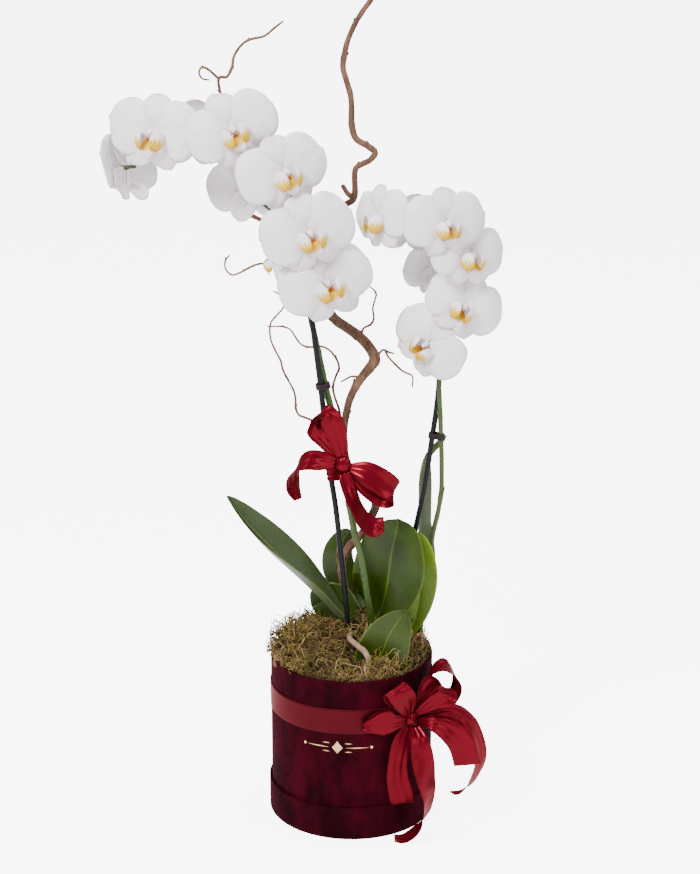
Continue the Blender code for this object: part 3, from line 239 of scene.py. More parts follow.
# Box bow, in millimetres along the band to the right, out from the wall and up from the band's middle
BOX_BOW = {
    "box_bow_loop_left": [
        (knot_exit(BOX_KNOT, -1, 0.2, 0), (0, 0.1, 1), 0.25), ((-24, 9, -2), (0, 0.1, 1), 0.65),
        ((-32, 9, 0), (0, 0.1, 1), 1), ((-45, 8, -2), (0, 0.2, 1), 0.45),
        ((-51, 5, -3), (0, 0.3, 1), 0.2), ((-45, 2.7, -3), (0, 0, 1), 0.45),
        ((-32, 2.4, -1), (0, 0, 1), 0.9), ((-24, 2.6, -1), (0, 0, 1), 0.8),
        ((-11.4, 3.2, -2), (0, 0, 1), 0.25)],
    "box_bow_loop_upper_left": [
        (knot_exit(BOX_KNOT, -0.65, 0.4, 0.7), (0.9, 0.1, 0.4), 0.25),
        ((-14, 14, 18), (0.9, 0.1, 0.3), 0.8), ((-20, 16, 29), (0.9, 0.1, 0.3), 0.9),
        ((-25, 11.5, 35), (0.9, 0.1, 0.3), 0.8), ((-22, 5.5, 25), (0.9, 0, 0.4), 0.7),
        (knot_exit(BOX_KNOT, -0.6, -0.3, 0.75), (0.9, 0, 0.5), 0.2)],
    "box_bow_loop_upper_right": [
        (knot_exit(BOX_KNOT, 0.45, 0.3, 0.85), (0.6, 0.3, -0.5), 0.15),
        ((8, 13, 20), (0.5, 0.6, -0.6), 0.5), ((12, 19, 31), (0.5, 0.6, -0.6), 0.8),
        ((14, 31, 30), (0.5, 0.6, -0.6), 0.9), ((10, 37, 24), (0.5, 0.6, -0.6), 0.8),
        ((4, 28, 17), (0.5, 0.5, -0.7), 0.5),
        (knot_exit(BOX_KNOT, 0.3, 0.75, 0.6), (0.6, 0.3, -0.5), 0.15)],
    "box_bow_loop_back": [
        (knot_exit(BOX_KNOT, 0.75, -0.2, 0.65), (0.3, -0.7, -0.5), 0.15),
        ((16, 8, 20), (0.7, -0.7, 0.1), 0.35),
        ((24, 9, 36), (0.9, -0.4, 0.2), 0.75), ((31, 19, 42), (0.9, -0.5, 0.2), 0.85),
        ((36, 28, 30), (0.7, -0.7, 0.1), 0.85), ((36, 29, 16), (0.6, -0.8, 0), 0.8),
        ((31, 24, 5), (0.5, -0.8, 0.1), 0.6), ((20, 20, 0), (0.3, -0.6, 0.7), 0.25)],
    "box_bow_tail_long_right": [
        (knot_exit(BOX_KNOT, 0.95, 0.1, 0), (0, 0.1, 1), 0.2), ((8, 21, 2), (0.2, -0.1, 1), 0.3),
        ((19, 35, 1), (0.3, 0.1, 0.9), 0.65), ((26, 47, -11), (0.5, 0.4, 0.8), 0.6),
        ((30, 55, -32), (0.9, 0.3, 0.2), 0.8), ((31, 57, -54), (1, 0.2, 0.2), 0.9),
        ((28, 51, -73), (0.9, 0, -0.3), 0.9), ((23, 43, -82), (0.9, -0.3, -0.4), 0.6),
        ((19, 36, -84), (0.9, -0.3, -0.3), 0.3)],
    "box_bow_tail_short_right": [
        (knot_exit(BOX_KNOT, 0.75, 0.5, -0.5), (0.2, 0.2, 1), 0.2), ((2, 27, -3), (0.3, -0.1, 1), 0.35),
        ((9, 39, -11), (0.4, 0.3, 0.9), 0.65), ((15, 49, -26), (0.4, 0.7, 0.6), 0.9),
        ((19, 53, -49), (0.5, 0.9, -0.1), 0.95)],
    "box_bow_tail_left": [
        (knot_exit(BOX_KNOT, -0.6, 0.2, -0.8), (1, 0.1, 0.2), 0.25), ((-15, 9, -24), (1, 0.2, 0), 0.7),
        ((-19, 10, -40), (1, 0.3, 0), 0.7), ((-20, 10, -60), (1, 0.3, 0), 0.8),
        ((-16, 11, -81), (0.9, 0.3, 0), 0.9), ((-14, 11, -88), (0.9, 0.3, 0), 0.7)],
    "box_bow_tail_middle": [
        (knot_exit(BOX_KNOT, 0.1, 0.5, -0.85), (1, 0.4, 0), 0.25), ((-5, 20, -20), (0.9, 0.4, 0), 0.6),
        ((-5, 25, -38), (1, 0.2, 0), 0.9), ((-4, 29, -57), (1, -0.1, 0), 1),
        ((-2, 31, -79), (0.9, -0.4, 0), 1), ((-5, 30, -97), (0.8, -0.7, 0), 0.9),
        ((-12, 28, -110), (0.6, -0.7, 0.4), 0.7), ((-19, 20, -120), (0.4, -0.9, 0.1), 0.5),
        ((-25, 14, -121), (0.4, -0.9, 0.1), 0.3)],
}


# ---------------------------------------------------------------- shapes


@dataclass
class Shape:
    """A stretch of mesh, with a place on its surface for each point and the number of its finish."""

    points: np.ndarray
    faces: list[tuple[int, ...]]
    surface: np.ndarray
    finish: int = 0


def run_along(rows: np.ndarray) -> np.ndarray:
    """Give the distance of each row from the start of its path."""
    return np.concatenate([[0.0], np.cumsum(np.linalg.norm(np.diff(rows[:, :3], axis=0), axis=1))])


def smooth_path(points: Sequence[Sequence[float]], step: float) -> np.ndarray:
    """Read evenly spread rows from a smooth curve through the given ones.

    Args:
        points: Rows that start with x, y and z. Further columns are carried along.
        step: The distance between rows, in the unit of the points.

    Returns:
        An array of rows from the first point to the last.
    """
    pts = np.array(points, float)
    chain = np.vstack([2 * pts[0] - pts[1], pts, 2 * pts[-1] - pts[-2]])
    t = np.linspace(0, 1, 16, endpoint=False)[:, None]
    dense = []
    for i in range(1, len(chain) - 2):
        p0, p1, p2, p3 = chain[i - 1:i + 3]
        cubic = (3 * p1 - p0 - 3 * p2 + p3) * t ** 3
        dense.append(0.5 * (2 * p1 + (p2 - p0) * t + (2 * p0 - 5 * p1 + 4 * p2 - p3) * t ** 2 + cubic))
    rows = np.vstack([*dense, pts[-1:]])
    run = run_along(rows)
    target = np.linspace(0, run[-1], max(3, round(run[-1] / step)) + 1)
    return np.column_stack([np.interp(target, run, rows[:, c]) for c in range(rows.shape[1])])


def path_length(path: np.ndarray) -> float:
    """Add up the straight distances along a path."""
    return float(np.linalg.norm(np.diff(path[:, :3], axis=0), axis=1).sum())


def unit(vectors: np.ndarray) -> np.ndarray:
    """Give vectors a length of one."""
    return vectors / np.maximum(np.linalg.norm(vectors, axis=-1, keepdims=True), 1e-12)


def raised(rows: np.ndarray) -> np.ndarray:
    """Turn plant coordinates with a radius into metres."""
    return rows * MM + np.array([0, 0, RIM, 0])


def tube_faces(count: int, sides: int) -> list[tuple[int, ...]]:
    """Join rings of points into a closed tube whose two end points follow the rings.

    Args:
        count: The number of rings.
        sides: The number of points in each.

    Returns:
        The faces, as numbers of points.
    """
    faces = []
    for i in range(count - 1):
        for k in range(sides):
            n = (k + 1) % sides
            faces.append((i * sides + k, i * sides + n, (i + 1) * sides + n, (i + 1) * sides + k))
    low, high, top = count * sides, count * sides + 1, (count - 1) * sides
    faces += [(low, (k + 1) % sides, k) for k in range(sides)]
    faces += [(high, top + k, top + (k + 1) % sides) for k in range(sides)]
    return faces


def slab(grid: np.ndarray, thickness: np.ndarray | float, finish: int = 0) -> Shape:
    """Give a grid of points a thickness, as one closed shell.

    Args:
        grid: Points by row along the sheet and column across it.
        thickness: One value, or one for each point of the grid.
        finish: The number of the finish.

    Returns:
        The shell, with its place across and along the sheet in its surface values.
    """
    rows, cols = grid.shape[:2]
    normal = unit(np.cross(np.gradient(grid, axis=1), np.gradient(grid, axis=0)))
    half = normal * (np.broadcast_to(thickness, (rows, cols))[..., None] / 2)
    points = np.vstack([(grid + half).reshape(-1, 3), (grid - half).reshape(-1, 3)])
    index = np.arange(rows * cols).reshape(rows, cols)
    quads = np.stack([index[:-1, :-1], index[:-1, 1:], index[1:, 1:], index[1:, :-1]], axis=-1).reshape(-1, 4)
    under = quads[:, ::-1] + rows * cols
    ring = np.concatenate([index[0], index[1:, -1], index[-1, -2::-1], index[-2:0:-1, 0]])
    ahead = np.roll(ring, -1)
    sides = np.stack([ring + rows * cols, ahead + rows * cols, ahead, ring], axis=-1)
    across, along = np.meshgrid(np.linspace(0, 1, cols), np.linspace(0, 1, rows))
    place = np.stack([across, along], axis=-1).reshape(-1, 2)
    faces = [tuple(map(int, face)) for face in np.vstack([quads, under, sides])]
    return Shape(points, faces, np.vstack([place, place]), finish)


def sweep(path: np.ndarray, sides: int, ripple: Callable | None = None, finish: int = 0) -> Shape:
    """Sweep a round section with rounded ends along a path.

    Args:
        path: Rows of x, y, z and radius, in metres.
        sides: The number of points round the section.
        ripple: Gives a share to grow the radius by, from the distance along and the angle round.
        finish: The number of the finish.

    Returns:
        The closed tube.
    """
    def dome(end: np.ndarray, way: np.ndarray, angles: Sequence[float]) -> list[list[float]]:
        """Round off an end with rows that shrink towards its tip."""
        return [[*(end[:3] + way * end[3] * math.sin(a)), end[3] * math.cos(a)] for a in angles]

    ends = [math.radians(a) for a in (75, 50, 25)]
    head = dome(path[0], unit(path[0, :3] - path[1, :3]), ends)
    tail = dome(path[-1], unit(path[-1, :3] - path[-2, :3]), ends[::-1])
    rows = np.vstack([head, path, tail])
    tangent = unit(np.gradient(rows[:, :3], axis=0))
    side = np.cross(tangent[0], (0.3, 0.9, 0.2))
    frames = []
    for t in tangent:
        side = side - t * side.dot(t)
        side = side / np.linalg.norm(side)
        frames.append((side, np.cross(t, side)))
    angle = np.linspace(0, 2 * math.pi, sides, endpoint=False)
    run = run_along(rows)
    radius = np.repeat(rows[:, 3:4], sides, axis=1)
    if ripple is not None:
        radius = radius * (1 + ripple(run[:, None], angle[None, :]))
    first_side = np.array([f[0] for f in frames])[:, None, :]
    second_side = np.array([f[1] for f in frames])[:, None, :]
    turn = angle[None, :, None]
    rings = rows[:, None, :3] + radius[..., None] * (np.cos(turn) * first_side + np.sin(turn) * second_side)
    count = len(rows)
    points = np.vstack([rings.reshape(-1, 3), rings[0].mean(axis=0), rings[-1].mean(axis=0)])
    surface = np.column_stack([np.tile(angle / (2 * math.pi), count), np.repeat(run / run[-1], sides)])
    surface = np.vstack([surface, [[0.5, 0.0], [0.5, 1.0]]])
    return Shape(points, tube_faces(count, sides), surface, finish)


def lathe(profile: Sequence[tuple[float, float]], sides: int, finish: int = 0) -> Shape:
    """Turn a profile that starts and ends on the axis.

    Args:
        profile: Radius and height, up the inside from the axis, over the rim and down the outside.
        sides: The number of points round it.
        finish: The number of the finish.

    Returns:
        The closed shell.
    """
    inner = profile[1:-1]
    angle = np.linspace(0, 2 * math.pi, sides, endpoint=False)
    rings = [np.column_stack([r * np.cos(angle), r * np.sin(angle), np.full(sides, z)]) for r, z in inner]
    points = np.vstack([*rings, [[0, 0, profile[0][1]]], [[0, 0, profile[-1][1]]]])
    count = len(inner)
    heights = [z for _, z in inner]
    surface = np.column_stack([np.tile(angle / (2 * math.pi), count), np.repeat(heights, sides)])
    surface = np.vstack([surface, [[0.5, profile[0][1]], [0.5, profile[-1][1]]]])
    faces = [tuple(reversed(face)) for face in tube_faces(count, sides)]
    return Shape(points, faces, surface, finish)


def egg(centre: Sequence[float], radii: Sequence[float], finish: int, rows: int = 10, sides: int = 14,
        dent: Callable | None = None) -> Shape:
    """Make a closed egg-shaped body.

    Args:
        centre: The middle.
        radii: The three half-sizes.
        finish: The number of the finish.
        rows: The number of rings from pole to pole.
        sides: The number of points round it.
        dent: Gives a share to grow the body by, from the height share and the angle round.

    Returns:
        The body.
    """
    height = np.linspace(0, math.pi, rows + 1)[1:-1]
    angle = np.linspace(0, 2 * math.pi, sides, endpoint=False)
    h, a = np.meshgrid(height, angle, indexing="ij")
    ball = np.stack([np.sin(h) * np.cos(a), np.sin(h) * np.sin(a), -np.cos(h)], axis=-1)
    if dent is not None:
        ball = ball * (1 + dent(h / math.pi, a))[..., None]
    points = np.vstack([ball.reshape(-1, 3), [[0, 0, -1]], [[0, 0, 1]]]) * radii + np.array(centre)
    count = len(height)
    surface = np.column_stack([np.tile(angle / (2 * math.pi), count), np.repeat(height / math.pi, sides)])
    surface = np.vstack([surface, [[0.5, 0.0], [0.5, 1.0]]])
    return Shape(points, tube_faces(count, sides), surface, finish)


def moved(shape: Shape, matrix: Matrix) -> Shape:
    """Give a copy of a shape, placed by a matrix.

    Args:
        shape: The shape.
        matrix: The turn, size and place that it gets.

    Returns:
        The copy.
    """
    turn = np.array(matrix)
    points = shape.points @ turn[:3, :3].T + turn[:3, 3]
    return Shape(points, shape.faces, shape.surface, shape.finish)


def as_object(name: str, shapes: Sequence[Shape], finishes: Sequence[bpy.types.Material]) -> bpy.types.Object:
    """Join shapes into one object that sits at the origin.

    Args:
        name: The object's name.
        shapes: What it is made of.
        finishes: Its materials, in the order of the shapes' numbers.

    Returns:
        The object, linked to the scene, with a UV map named surface.
    """
    mesh = bpy.data.meshes.new(name)
    faces, start = [], 0
    for shape in shapes:
        faces += [tuple(i + start for i in face) for face in shape.faces]
        start += len(shape.points)
    mesh.from_pydata(np.vstack([s.points for s in shapes]).tolist(), [], faces)
    surface = np.vstack([s.surface for s in shapes])
    corner = np.empty(len(mesh.loops), dtype=np.int32)
    mesh.loops.foreach_get("vertex_index", corner)
    mesh.uv_layers.new(name="surface").data.foreach_set("uv", surface[corner].ravel())
    index = np.concatenate([np.full(len(s.faces), s.finish, dtype=np.int32) for s in shapes])
    mesh.polygons.foreach_set("material_index", index)
    mesh.polygons.foreach_set("use_smooth", np.ones(len(mesh.polygons), dtype=bool))
    for material in finishes:
        mesh.materials.append(material)
    mesh.update()
    obj = bpy.data.objects.new(name, mesh)
    bpy.context.scene.collection.objects.link(obj)
    return obj


def settle(obj: bpy.types.Object, slot: str, *nodes: str) -> bpy.types.Object:
    """Tie a finished piece to the frame and report it.

    Args:
        obj: The piece.
        slot: The record's material slot.
        nodes: The nodes that it stands for.

    Returns:
        The piece.
    """
    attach(obj, BODY)
    if nodes:
        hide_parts(*nodes)
    LOG.info("%s: %d faces, %s", obj.name, len(obj.data.polygons), slot)
    return obj


def at_level(path: np.ndarray, level: float) -> np.ndarray:
    """Find where a rising path crosses a level."""
    return np.array([np.interp(level, path[:, 2], path[:, c]) for c in range(3)])


# ---------------------------------------------------------------- finishes


class Graph:
    """Builds a node tree one node at a time."""

    def __init__(self, tree: bpy.types.NodeTree) -> None:
        """Keep the tree that the nodes go into."""
        self.tree = tree

    def node(self, kind: str, inputs: dict[Any, Any] | None = None, **settings: Any) -> bpy.types.Node:
        """Add a node.

        Args:
            kind: The node's type.
            inputs: Values or sockets by input name or number.
            settings: The node's own properties.

        Returns:
            The node.
        """
        node = self.tree.nodes.new(kind)
        for key, value in settings.items():
            setattr(node, key, value)
        for key, value in (inputs or {}).items():
            if isinstance(value, Socket):
                self.tree.links.new(value, node.inputs[key])
            else:
                node.inputs[key].default_value = value
        return node

    def math(self, operation: str, a: Any, b: Any = 0.0, clamp: bool = False) -> Socket:
        """Add a Math node and give its value."""
        return self.node("ShaderNodeMath", {0: a, 1: b}, operation=operation, use_clamp=clamp).outputs[0]

    def mix(self, share: Any, a: Any, b: Any, blend: str = "MIX") -> Socket:
        """Add a colour Mix node and give its colour."""
        inputs = {0: share, 6: a, 7: b}
        return self.node("ShaderNodeMix", inputs, data_type="RGBA", blend_type=blend).outputs[2]

    def step(self, value: Any, low: float, high: float) -> Socket:
        """Turn a value into a smooth mask that is 0 at low and 1 at high."""
        inputs = {"Value": value, "From Min": low, "From Max": high}
        return self.node("ShaderNodeMapRange", inputs, interpolation_type="SMOOTHSTEP").outputs[0]

    def noise(self, place: Any, scale: float, detail: float = 3.0, rough: float = 0.5) -> Socket:
        """Add a Noise Texture and give its value."""
        inputs = {"Vector": place, "Scale": scale, "Detail": detail, "Roughness": rough}
        return self.node("ShaderNodeTexNoise", inputs).outputs[0]

    def stretched(self, place: Any, scale: tuple[float, float, float]) -> Socket:
        """Stretch coordinates with a Mapping node."""
        return self.node("ShaderNodeMapping", {"Vector": place, "Scale": scale}).outputs[0]


def effect(name: str, inputs: Sequence[tuple[str, str, float]], outputs: Sequence[tuple[str, str]]) -> Graph:
    """Start a shader node group with named sockets.

    Args:
        name: The group's name.
        inputs: Name, socket type and default value of each input.
        outputs: Name and socket type of each output.

    Returns:
        The graph, with its Group Input and Group Output in place.
    """
    tree = bpy.data.node_groups.new(name, "ShaderNodeTree")
    for label, kind, value in inputs:
        socket = tree.interface.new_socket(name=label, in_out="INPUT", socket_type=kind)
        if kind == "NodeSocketFloat":
            socket.default_value = value
    for label, kind in outputs:
        tree.interface.new_socket(name=label, in_out="OUTPUT", socket_type=kind)
    tree.nodes.new("NodeGroupInput")
    tree.nodes.new("NodeGroupOutput")
    return Graph(tree)


FLOAT, VECTOR = "NodeSocketFloat", "NodeSocketVector"


def mottle_effect() -> None:
    """Build the soft, two-scale mottling that most natural surfaces have."""
    sockets = [("Place", VECTOR, 0), ("Scale", FLOAT, 60), ("Contrast", FLOAT, 1)]
    g = effect("mottle", sockets, [("Mask", FLOAT)])
    source, out = g.tree.nodes["Group Input"].outputs, g.tree.nodes["Group Output"]
    fine = g.node("ShaderNodeTexNoise", {"Vector": source["Place"], "Detail": 4.0, "Roughness": 0.6})
    g.tree.links.new(source["Scale"], fine.inputs["Scale"])
    broad = g.node("ShaderNodeTexNoise", {"Vector": source["Place"], "Detail": 2.0})
    g.tree.links.new(g.math("MULTIPLY", source["Scale"], 0.27), broad.inputs["Scale"])
    both = g.math("ADD", g.math("MULTIPLY", fine.outputs[0], 0.5), g.math("MULTIPLY", broad.outputs[0], 0.5))
    centred = g.math("MULTIPLY", g.math("SUBTRACT", both, 0.5), g.math("MULTIPLY", source["Contrast"], 3.0))
    g.tree.links.new(g.math("ADD", centred, 0.5, clamp=True), out.inputs["Mask"])


def vein_effect() -> None:
    """Build fine lines that run along a surface, such as veins or threads, and wander a little."""
    sockets = [("Place", VECTOR, 0), ("Count", FLOAT, 20), ("Wander", FLOAT, 0.1), ("Sharpness", FLOAT, 2)]
    g = effect("veins", sockets, [("Mask", FLOAT)])
    source, out = g.tree.nodes["Group Input"].outputs, g.tree.nodes["Group Output"]
    split = g.node("ShaderNodeSeparateXYZ", {0: source["Place"]}).outputs
    drift = g.math("SUBTRACT", g.noise(source["Place"], 6.0, 2.0), 0.5)
    across = g.math("ADD", split[0], g.math("MULTIPLY", drift, source["Wander"]))
    turn = g.math("MULTIPLY", g.math("MULTIPLY", across, source["Count"]), 2 * math.pi)
    wave = g.math("ADD", g.math("MULTIPLY", g.math("COSINE", turn), 0.5), 0.5)
    g.tree.links.new(g.math("POWER", wave, source["Sharpness"]), out.inputs["Mask"])


def relief_effect() -> None:
    """Build a fine grain that bends the normal, laid over a height from elsewhere."""
    sockets = [("Place", VECTOR, 0), ("Scale", FLOAT, 900), ("Grain", FLOAT, 0.3), ("Height", FLOAT, 0),
               ("Depth", FLOAT, 0.0004)]
    g = effect("relief", sockets, [("Normal", VECTOR)])
    source, out = g.tree.nodes["Group Input"].outputs, g.tree.nodes["Group Output"]
    grain = g.node("ShaderNodeTexNoise", {"Vector": source["Place"], "Detail": 3.0, "Roughness": 0.6})
    g.tree.links.new(source["Scale"], grain.inputs["Scale"])
    total = g.math("ADD", g.math("MULTIPLY", grain.outputs[0], source["Grain"]), source["Height"])
    bump = g.node("ShaderNodeBump", {"Height": total, "Distance": source["Depth"], "Strength": 1.0})
    g.tree.links.new(bump.outputs[0], out.inputs["Normal"])


class Effect(Enum):
    """The shared effects, by the name of their node group."""

    MOTTLE = "mottle"
    VEINS = "veins"
    RELIEF = "relief"


def build_effects() -> None:
    """Build each shared effect once."""
    mottle_effect()
    vein_effect()
    relief_effect()


@dataclass(frozen=True)
class Finish:
    """What every finish has: a name, a base colour, a roughness and a few constant surface values."""

    name: str
    colour: Colour
    roughness: float = 0.5

    def settings(self) -> dict[str, Any]:
        """Give the shader's constant values, by socket name."""
        return {"Roughness": self.roughness, "Specular IOR Level": 0.2}

    def dress(self, g: Graph, shader: bpy.types.Node) -> None:
        """Link what changes over the surface."""

    def tone(self, share: float, shift: Colour = (0, 0, 0)) -> tuple[float, ...]:
        """Give the base colour, made lighter or darker and shifted."""
        return tuple(max(0.0, c * share + s) for c, s in zip(self.colour, shift)) + (1.0,)

    def group(self, g: Graph, kind: Effect, **inputs: Any) -> Socket:
        """Place a shared effect and give its output.

        Args:
            g: The material's graph.
            kind: Which effect.
            inputs: Values or sockets by input name.

        Returns:
            The effect's only output.
        """
        return g.node("ShaderNodeGroup", inputs, node_tree=bpy.data.node_groups[kind.value]).outputs[0]

    def mottle(self, g: Graph, place: Any, scale: float, contrast: float) -> Socket:
        """Give a mask of soft, two-scale mottling."""
        return self.group(g, Effect.MOTTLE, Place=place, Scale=scale, Contrast=contrast)

    def relief(self, g: Graph, shader: bpy.types.Node, scale: float, grain: float, height: Any,
               depth: float) -> None:
        """Bend the shader's normal by a fine grain laid over a height.

        Args:
            g: The material's graph.
            shader: The Principled BSDF.
            scale: How fine the grain is.
            grain: The share of the grain beside the height.
            height: The height from elsewhere.
            depth: The depth of it all, in metres.
        """
        normal = self.group(g, Effect.RELIEF, Place=object_place(g), Scale=scale, Grain=grain,
                            Height=height, Depth=depth)
        g.tree.links.new(normal, shader.inputs["Normal"])

    def build(self) -> bpy.types.Material:
        """Build the material, once.

        Returns:
            The material, with its own shader and nodes.
        """
        title = self.name + "_finish"
        if title in bpy.data.materials:
            return bpy.data.materials[title]
        material = bpy.data.materials.new(title)
        material.use_nodes = True
        shader = material.node_tree.nodes["Principled BSDF"]
        shader.inputs["Base Color"].default_value = self.tone(1.0)
        for key, value in self.settings().items():
            shader.inputs[key].default_value = value
        self.dress(Graph(material.node_tree), shader)
        return material


def object_place(g: Graph) -> Socket:
    """Give Object coordinates."""
    return g.node("ShaderNodeTexCoord").outputs["Object"]


def surface_place(g: Graph) -> Socket:
    """Give the place across and along a surface, from its own UV map."""
    return g.node("ShaderNodeUVMap", uv_map="surface").outputs[0]


@dataclass(frozen=True)
class Velvet(Finish):
    """Crushed velvet: a deep nap that brushes lighter in soft upright patches."""

    def settings(self) -> dict[str, Any]:
        """Give the shader's constant values."""
        return {"Roughness": self.roughness, "Sheen Weight": 0.17, "Sheen Roughness": 0.28,
                "Sheen Tint": (0.50, 0.025, 0.12, 1.0), "Specular IOR Level": 0.03}

    def dress(self, g: Graph, shader: bpy.types.Node) -> None:
        """Brush the nap into patches and give it a fine pile.

        Args:
            g: The material's graph.
            shader: The Principled BSDF.
        """
        place = object_place(g)
        patch = self.mottle(g, g.stretched(place, (1.0, 1.0, 0.55)), scale=56.0, contrast=1.8)
        brushed = self.mottle(g, g.stretched(place, (1.0, 1.0, 0.12)), scale=240.0, contrast=0.5)
        base = g.mix(patch, self.tone(0.50), self.tone(2.5, (0.010, 0.0, 0.001)))
        base = g.mix(g.math("MULTIPLY", brushed, 0.35), base, self.tone(2.6, (0.012, 0.0005, 0.003)))
        g.tree.links.new(base, shader.inputs["Base Color"])
        self.relief(g, shader, scale=1500.0, grain=0.6, height=patch, depth=0.0006)


@dataclass(frozen=True)
class Satin(Finish):
    """Double-face satin ribbon: soft bands of painted light, fine cross threads and a bound edge."""

    def settings(self) -> dict[str, Any]:
        """Give the shader's constant values."""
        return {"Metallic": 0.6, "Specular Tint": (1.0, 0.4, 0.45, 1.0),
                "Anisotropic": 0.35, "Specular IOR Level": 0.2}

    def dress(self, g: Graph, shader: bpy.types.Node) -> None:
        """Lay the threads across the ribbon and bind its edges.

        Args:
            g: The material's graph.
            shader: The Principled BSDF.
        """
        place, surface = object_place(g), surface_place(g)
        turned = g.node("ShaderNodeMapping", {"Vector": surface, "Rotation": (0, 0, math.pi / 2)}).outputs[0]
        thread = self.group(g, Effect.VEINS, Place=turned, Count=160.0, Wander=0.01, Sharpness=1.0)
        # Painted light: broad lighter and darker patches in the colour stand in for the satin's sheen; the
        # same mask also varies the gloss.
        painted_light_bands = self.mottle(g, place, scale=45.0, contrast=0.8)
        across = g.node("ShaderNodeSeparateXYZ", {0: surface}).outputs[0]
        edge = g.step(g.math("ABSOLUTE", g.math("SUBTRACT", across, 0.5)), 0.455, 0.485)
        base = g.mix(painted_light_bands, self.tone(0.78), self.tone(1.18, (0.01, 0.0, 0.002)))
        base = g.mix(g.math("MULTIPLY", thread, 0.12), base, self.tone(1.6))
        base = g.mix(g.math("MULTIPLY", edge, 0.45), base, self.tone(0.5))
        g.tree.links.new(base, shader.inputs["Base Color"])
        rough = g.math("ADD", g.math("MULTIPLY", painted_light_bands, 0.12), self.roughness)
        g.tree.links.new(g.math("ADD", rough, g.math("MULTIPLY", edge, 0.2)), shader.inputs["Roughness"])
        height = g.math("ADD", g.math("MULTIPLY", thread, 0.12), g.math("MULTIPLY", edge, 0.6))
        self.relief(g, shader, scale=700.0, grain=0.25, height=height, depth=0.00005)


@dataclass(frozen=True)
class Petal(Finish):
    """A thick white tepal that lets light through, veined along its length and flushed at its tip."""

    flush: float = 0.0

    def settings(self) -> dict[str, Any]:
        """Give the shader's constant values."""
        return {"Roughness": self.roughness, "Subsurface Weight": 0.28, "Subsurface Radius": (1.0, 0.85, 0.8),
                "Subsurface Scale": 0.0035, "Sheen Weight": 0.08, "Specular IOR Level": 0.35}

    def dress(self, g: Graph, shader: bpy.types.Node) -> None:
        """Flush the tip, green the base and raise the veins.

        Args:
            g: The material's graph.
            shader: The Principled BSDF.
        """
        place, surface = object_place(g), surface_place(g)
        split = g.node("ShaderNodeSeparateXYZ", {0: surface}).outputs
        vein = self.group(g, Effect.VEINS, Place=surface, Count=13.0, Wander=0.10, Sharpness=3.0)
        cloud = self.mottle(g, place, scale=70.0, contrast=0.7)
        base = g.mix(cloud, self.tone(0.97, (0.0, -0.012, 0.0)), self.tone(1.02, (0.0, 0.005, 0.0)))
        base = g.mix(g.math("MULTIPLY", vein, 0.34), base, self.tone(0.88, (0.0, -0.035, -0.005)))
        tip = g.math("MULTIPLY", g.step(split[1], 0.62, 1.0), self.flush)
        base = g.mix(tip, base, (0.66, 0.42, 0.56, 1.0))
        foot = g.math("MULTIPLY", g.step(split[1], 0.22, 0.0), 0.55)
        g.tree.links.new(g.mix(foot, base, (0.72, 0.72, 0.48, 1.0)), shader.inputs["Base Color"])
        height = g.math("MULTIPLY", vein, -0.35)
        self.relief(g, shader, scale=420.0, grain=0.35, height=height, depth=0.00035)


@dataclass(frozen=True)
class Lip(Finish):
    """The lip of a moth orchid: white above, gold below, with orange bars and rusty specks."""

    def settings(self) -> dict[str, Any]:
        """Give the shader's constant values."""
        return {"Roughness": self.roughness, "Subsurface Weight": 0.1, "Subsurface Radius": (1.0, 0.7, 0.5),
                "Subsurface Scale": 0.001, "Specular IOR Level": 0.25}

    def dress(self, g: Graph, shader: bpy.types.Node) -> None:
        """Run gold up from the foot of each lobe, and bar it with orange.

        Args:
            g: The material's graph.
            shader: The Principled BSDF.
        """
        place, surface = object_place(g), surface_place(g)
        split = g.node("ShaderNodeSeparateXYZ", {0: surface}).outputs
        bars = self.group(g, Effect.VEINS, Place=surface, Count=5.0, Wander=0.25, Sharpness=2.5)
        ragged = g.math("ADD", split[1], g.math("MULTIPLY", g.math("SUBTRACT", bars, 0.5), 0.14))
        gold = g.step(ragged, 0.58, 0.42)
        base = g.mix(gold, self.tone(1.0), (0.68, 0.46, 0.0, 1.0))
        barred = g.math("ADD", split[1], g.math("MULTIPLY", bars, 0.2))
        deep = g.math("MULTIPLY", g.step(barred, 0.46, 0.14), 0.6)
        base = g.mix(deep, base, (0.46, 0.09, 0.0, 1.0))
        specks = g.step(g.noise(place, 700.0, 1.0), 0.60, 0.66)
        faint = g.math("MULTIPLY", specks, g.math("ADD", g.math("MULTIPLY", gold, 0.35), 0.10))
        g.tree.links.new(g.mix(faint, base, (0.42, 0.10, 0.05, 1.0)), shader.inputs["Base Color"])
        self.relief(g, shader, scale=600.0, grain=0.3, height=bars, depth=0.0002)


@dataclass(frozen=True)
class Fleshy(Finish):
    """A small fleshy body in two tones, such as a column, a callus or a stem, with a light gloss."""

    second: Colour = (0.5, 0.5, 0.5)
    scale: float = 120.0
    gloss: float = 0.15
    glow: float = 0.1

    def settings(self) -> dict[str, Any]:
        """Give the shader's constant values."""
        return {"Roughness": self.roughness, "Subsurface Weight": self.glow, "Subsurface Scale": 0.002,
                "Coat Weight": self.gloss, "Specular IOR Level": 0.3}

    def dress(self, g: Graph, shader: bpy.types.Node) -> None:
        """Blend the two tones in soft spots.

        Args:
            g: The material's graph.
            shader: The Principled BSDF.
        """
        place = object_place(g)
        spots = self.mottle(g, place, scale=self.scale, contrast=1.6)
        g.tree.links.new(g.mix(spots, self.tone(1.0), (*self.second, 1.0)), shader.inputs["Base Color"])
        self.relief(g, shader, scale=800.0, grain=0.35, height=spots, depth=0.00025)


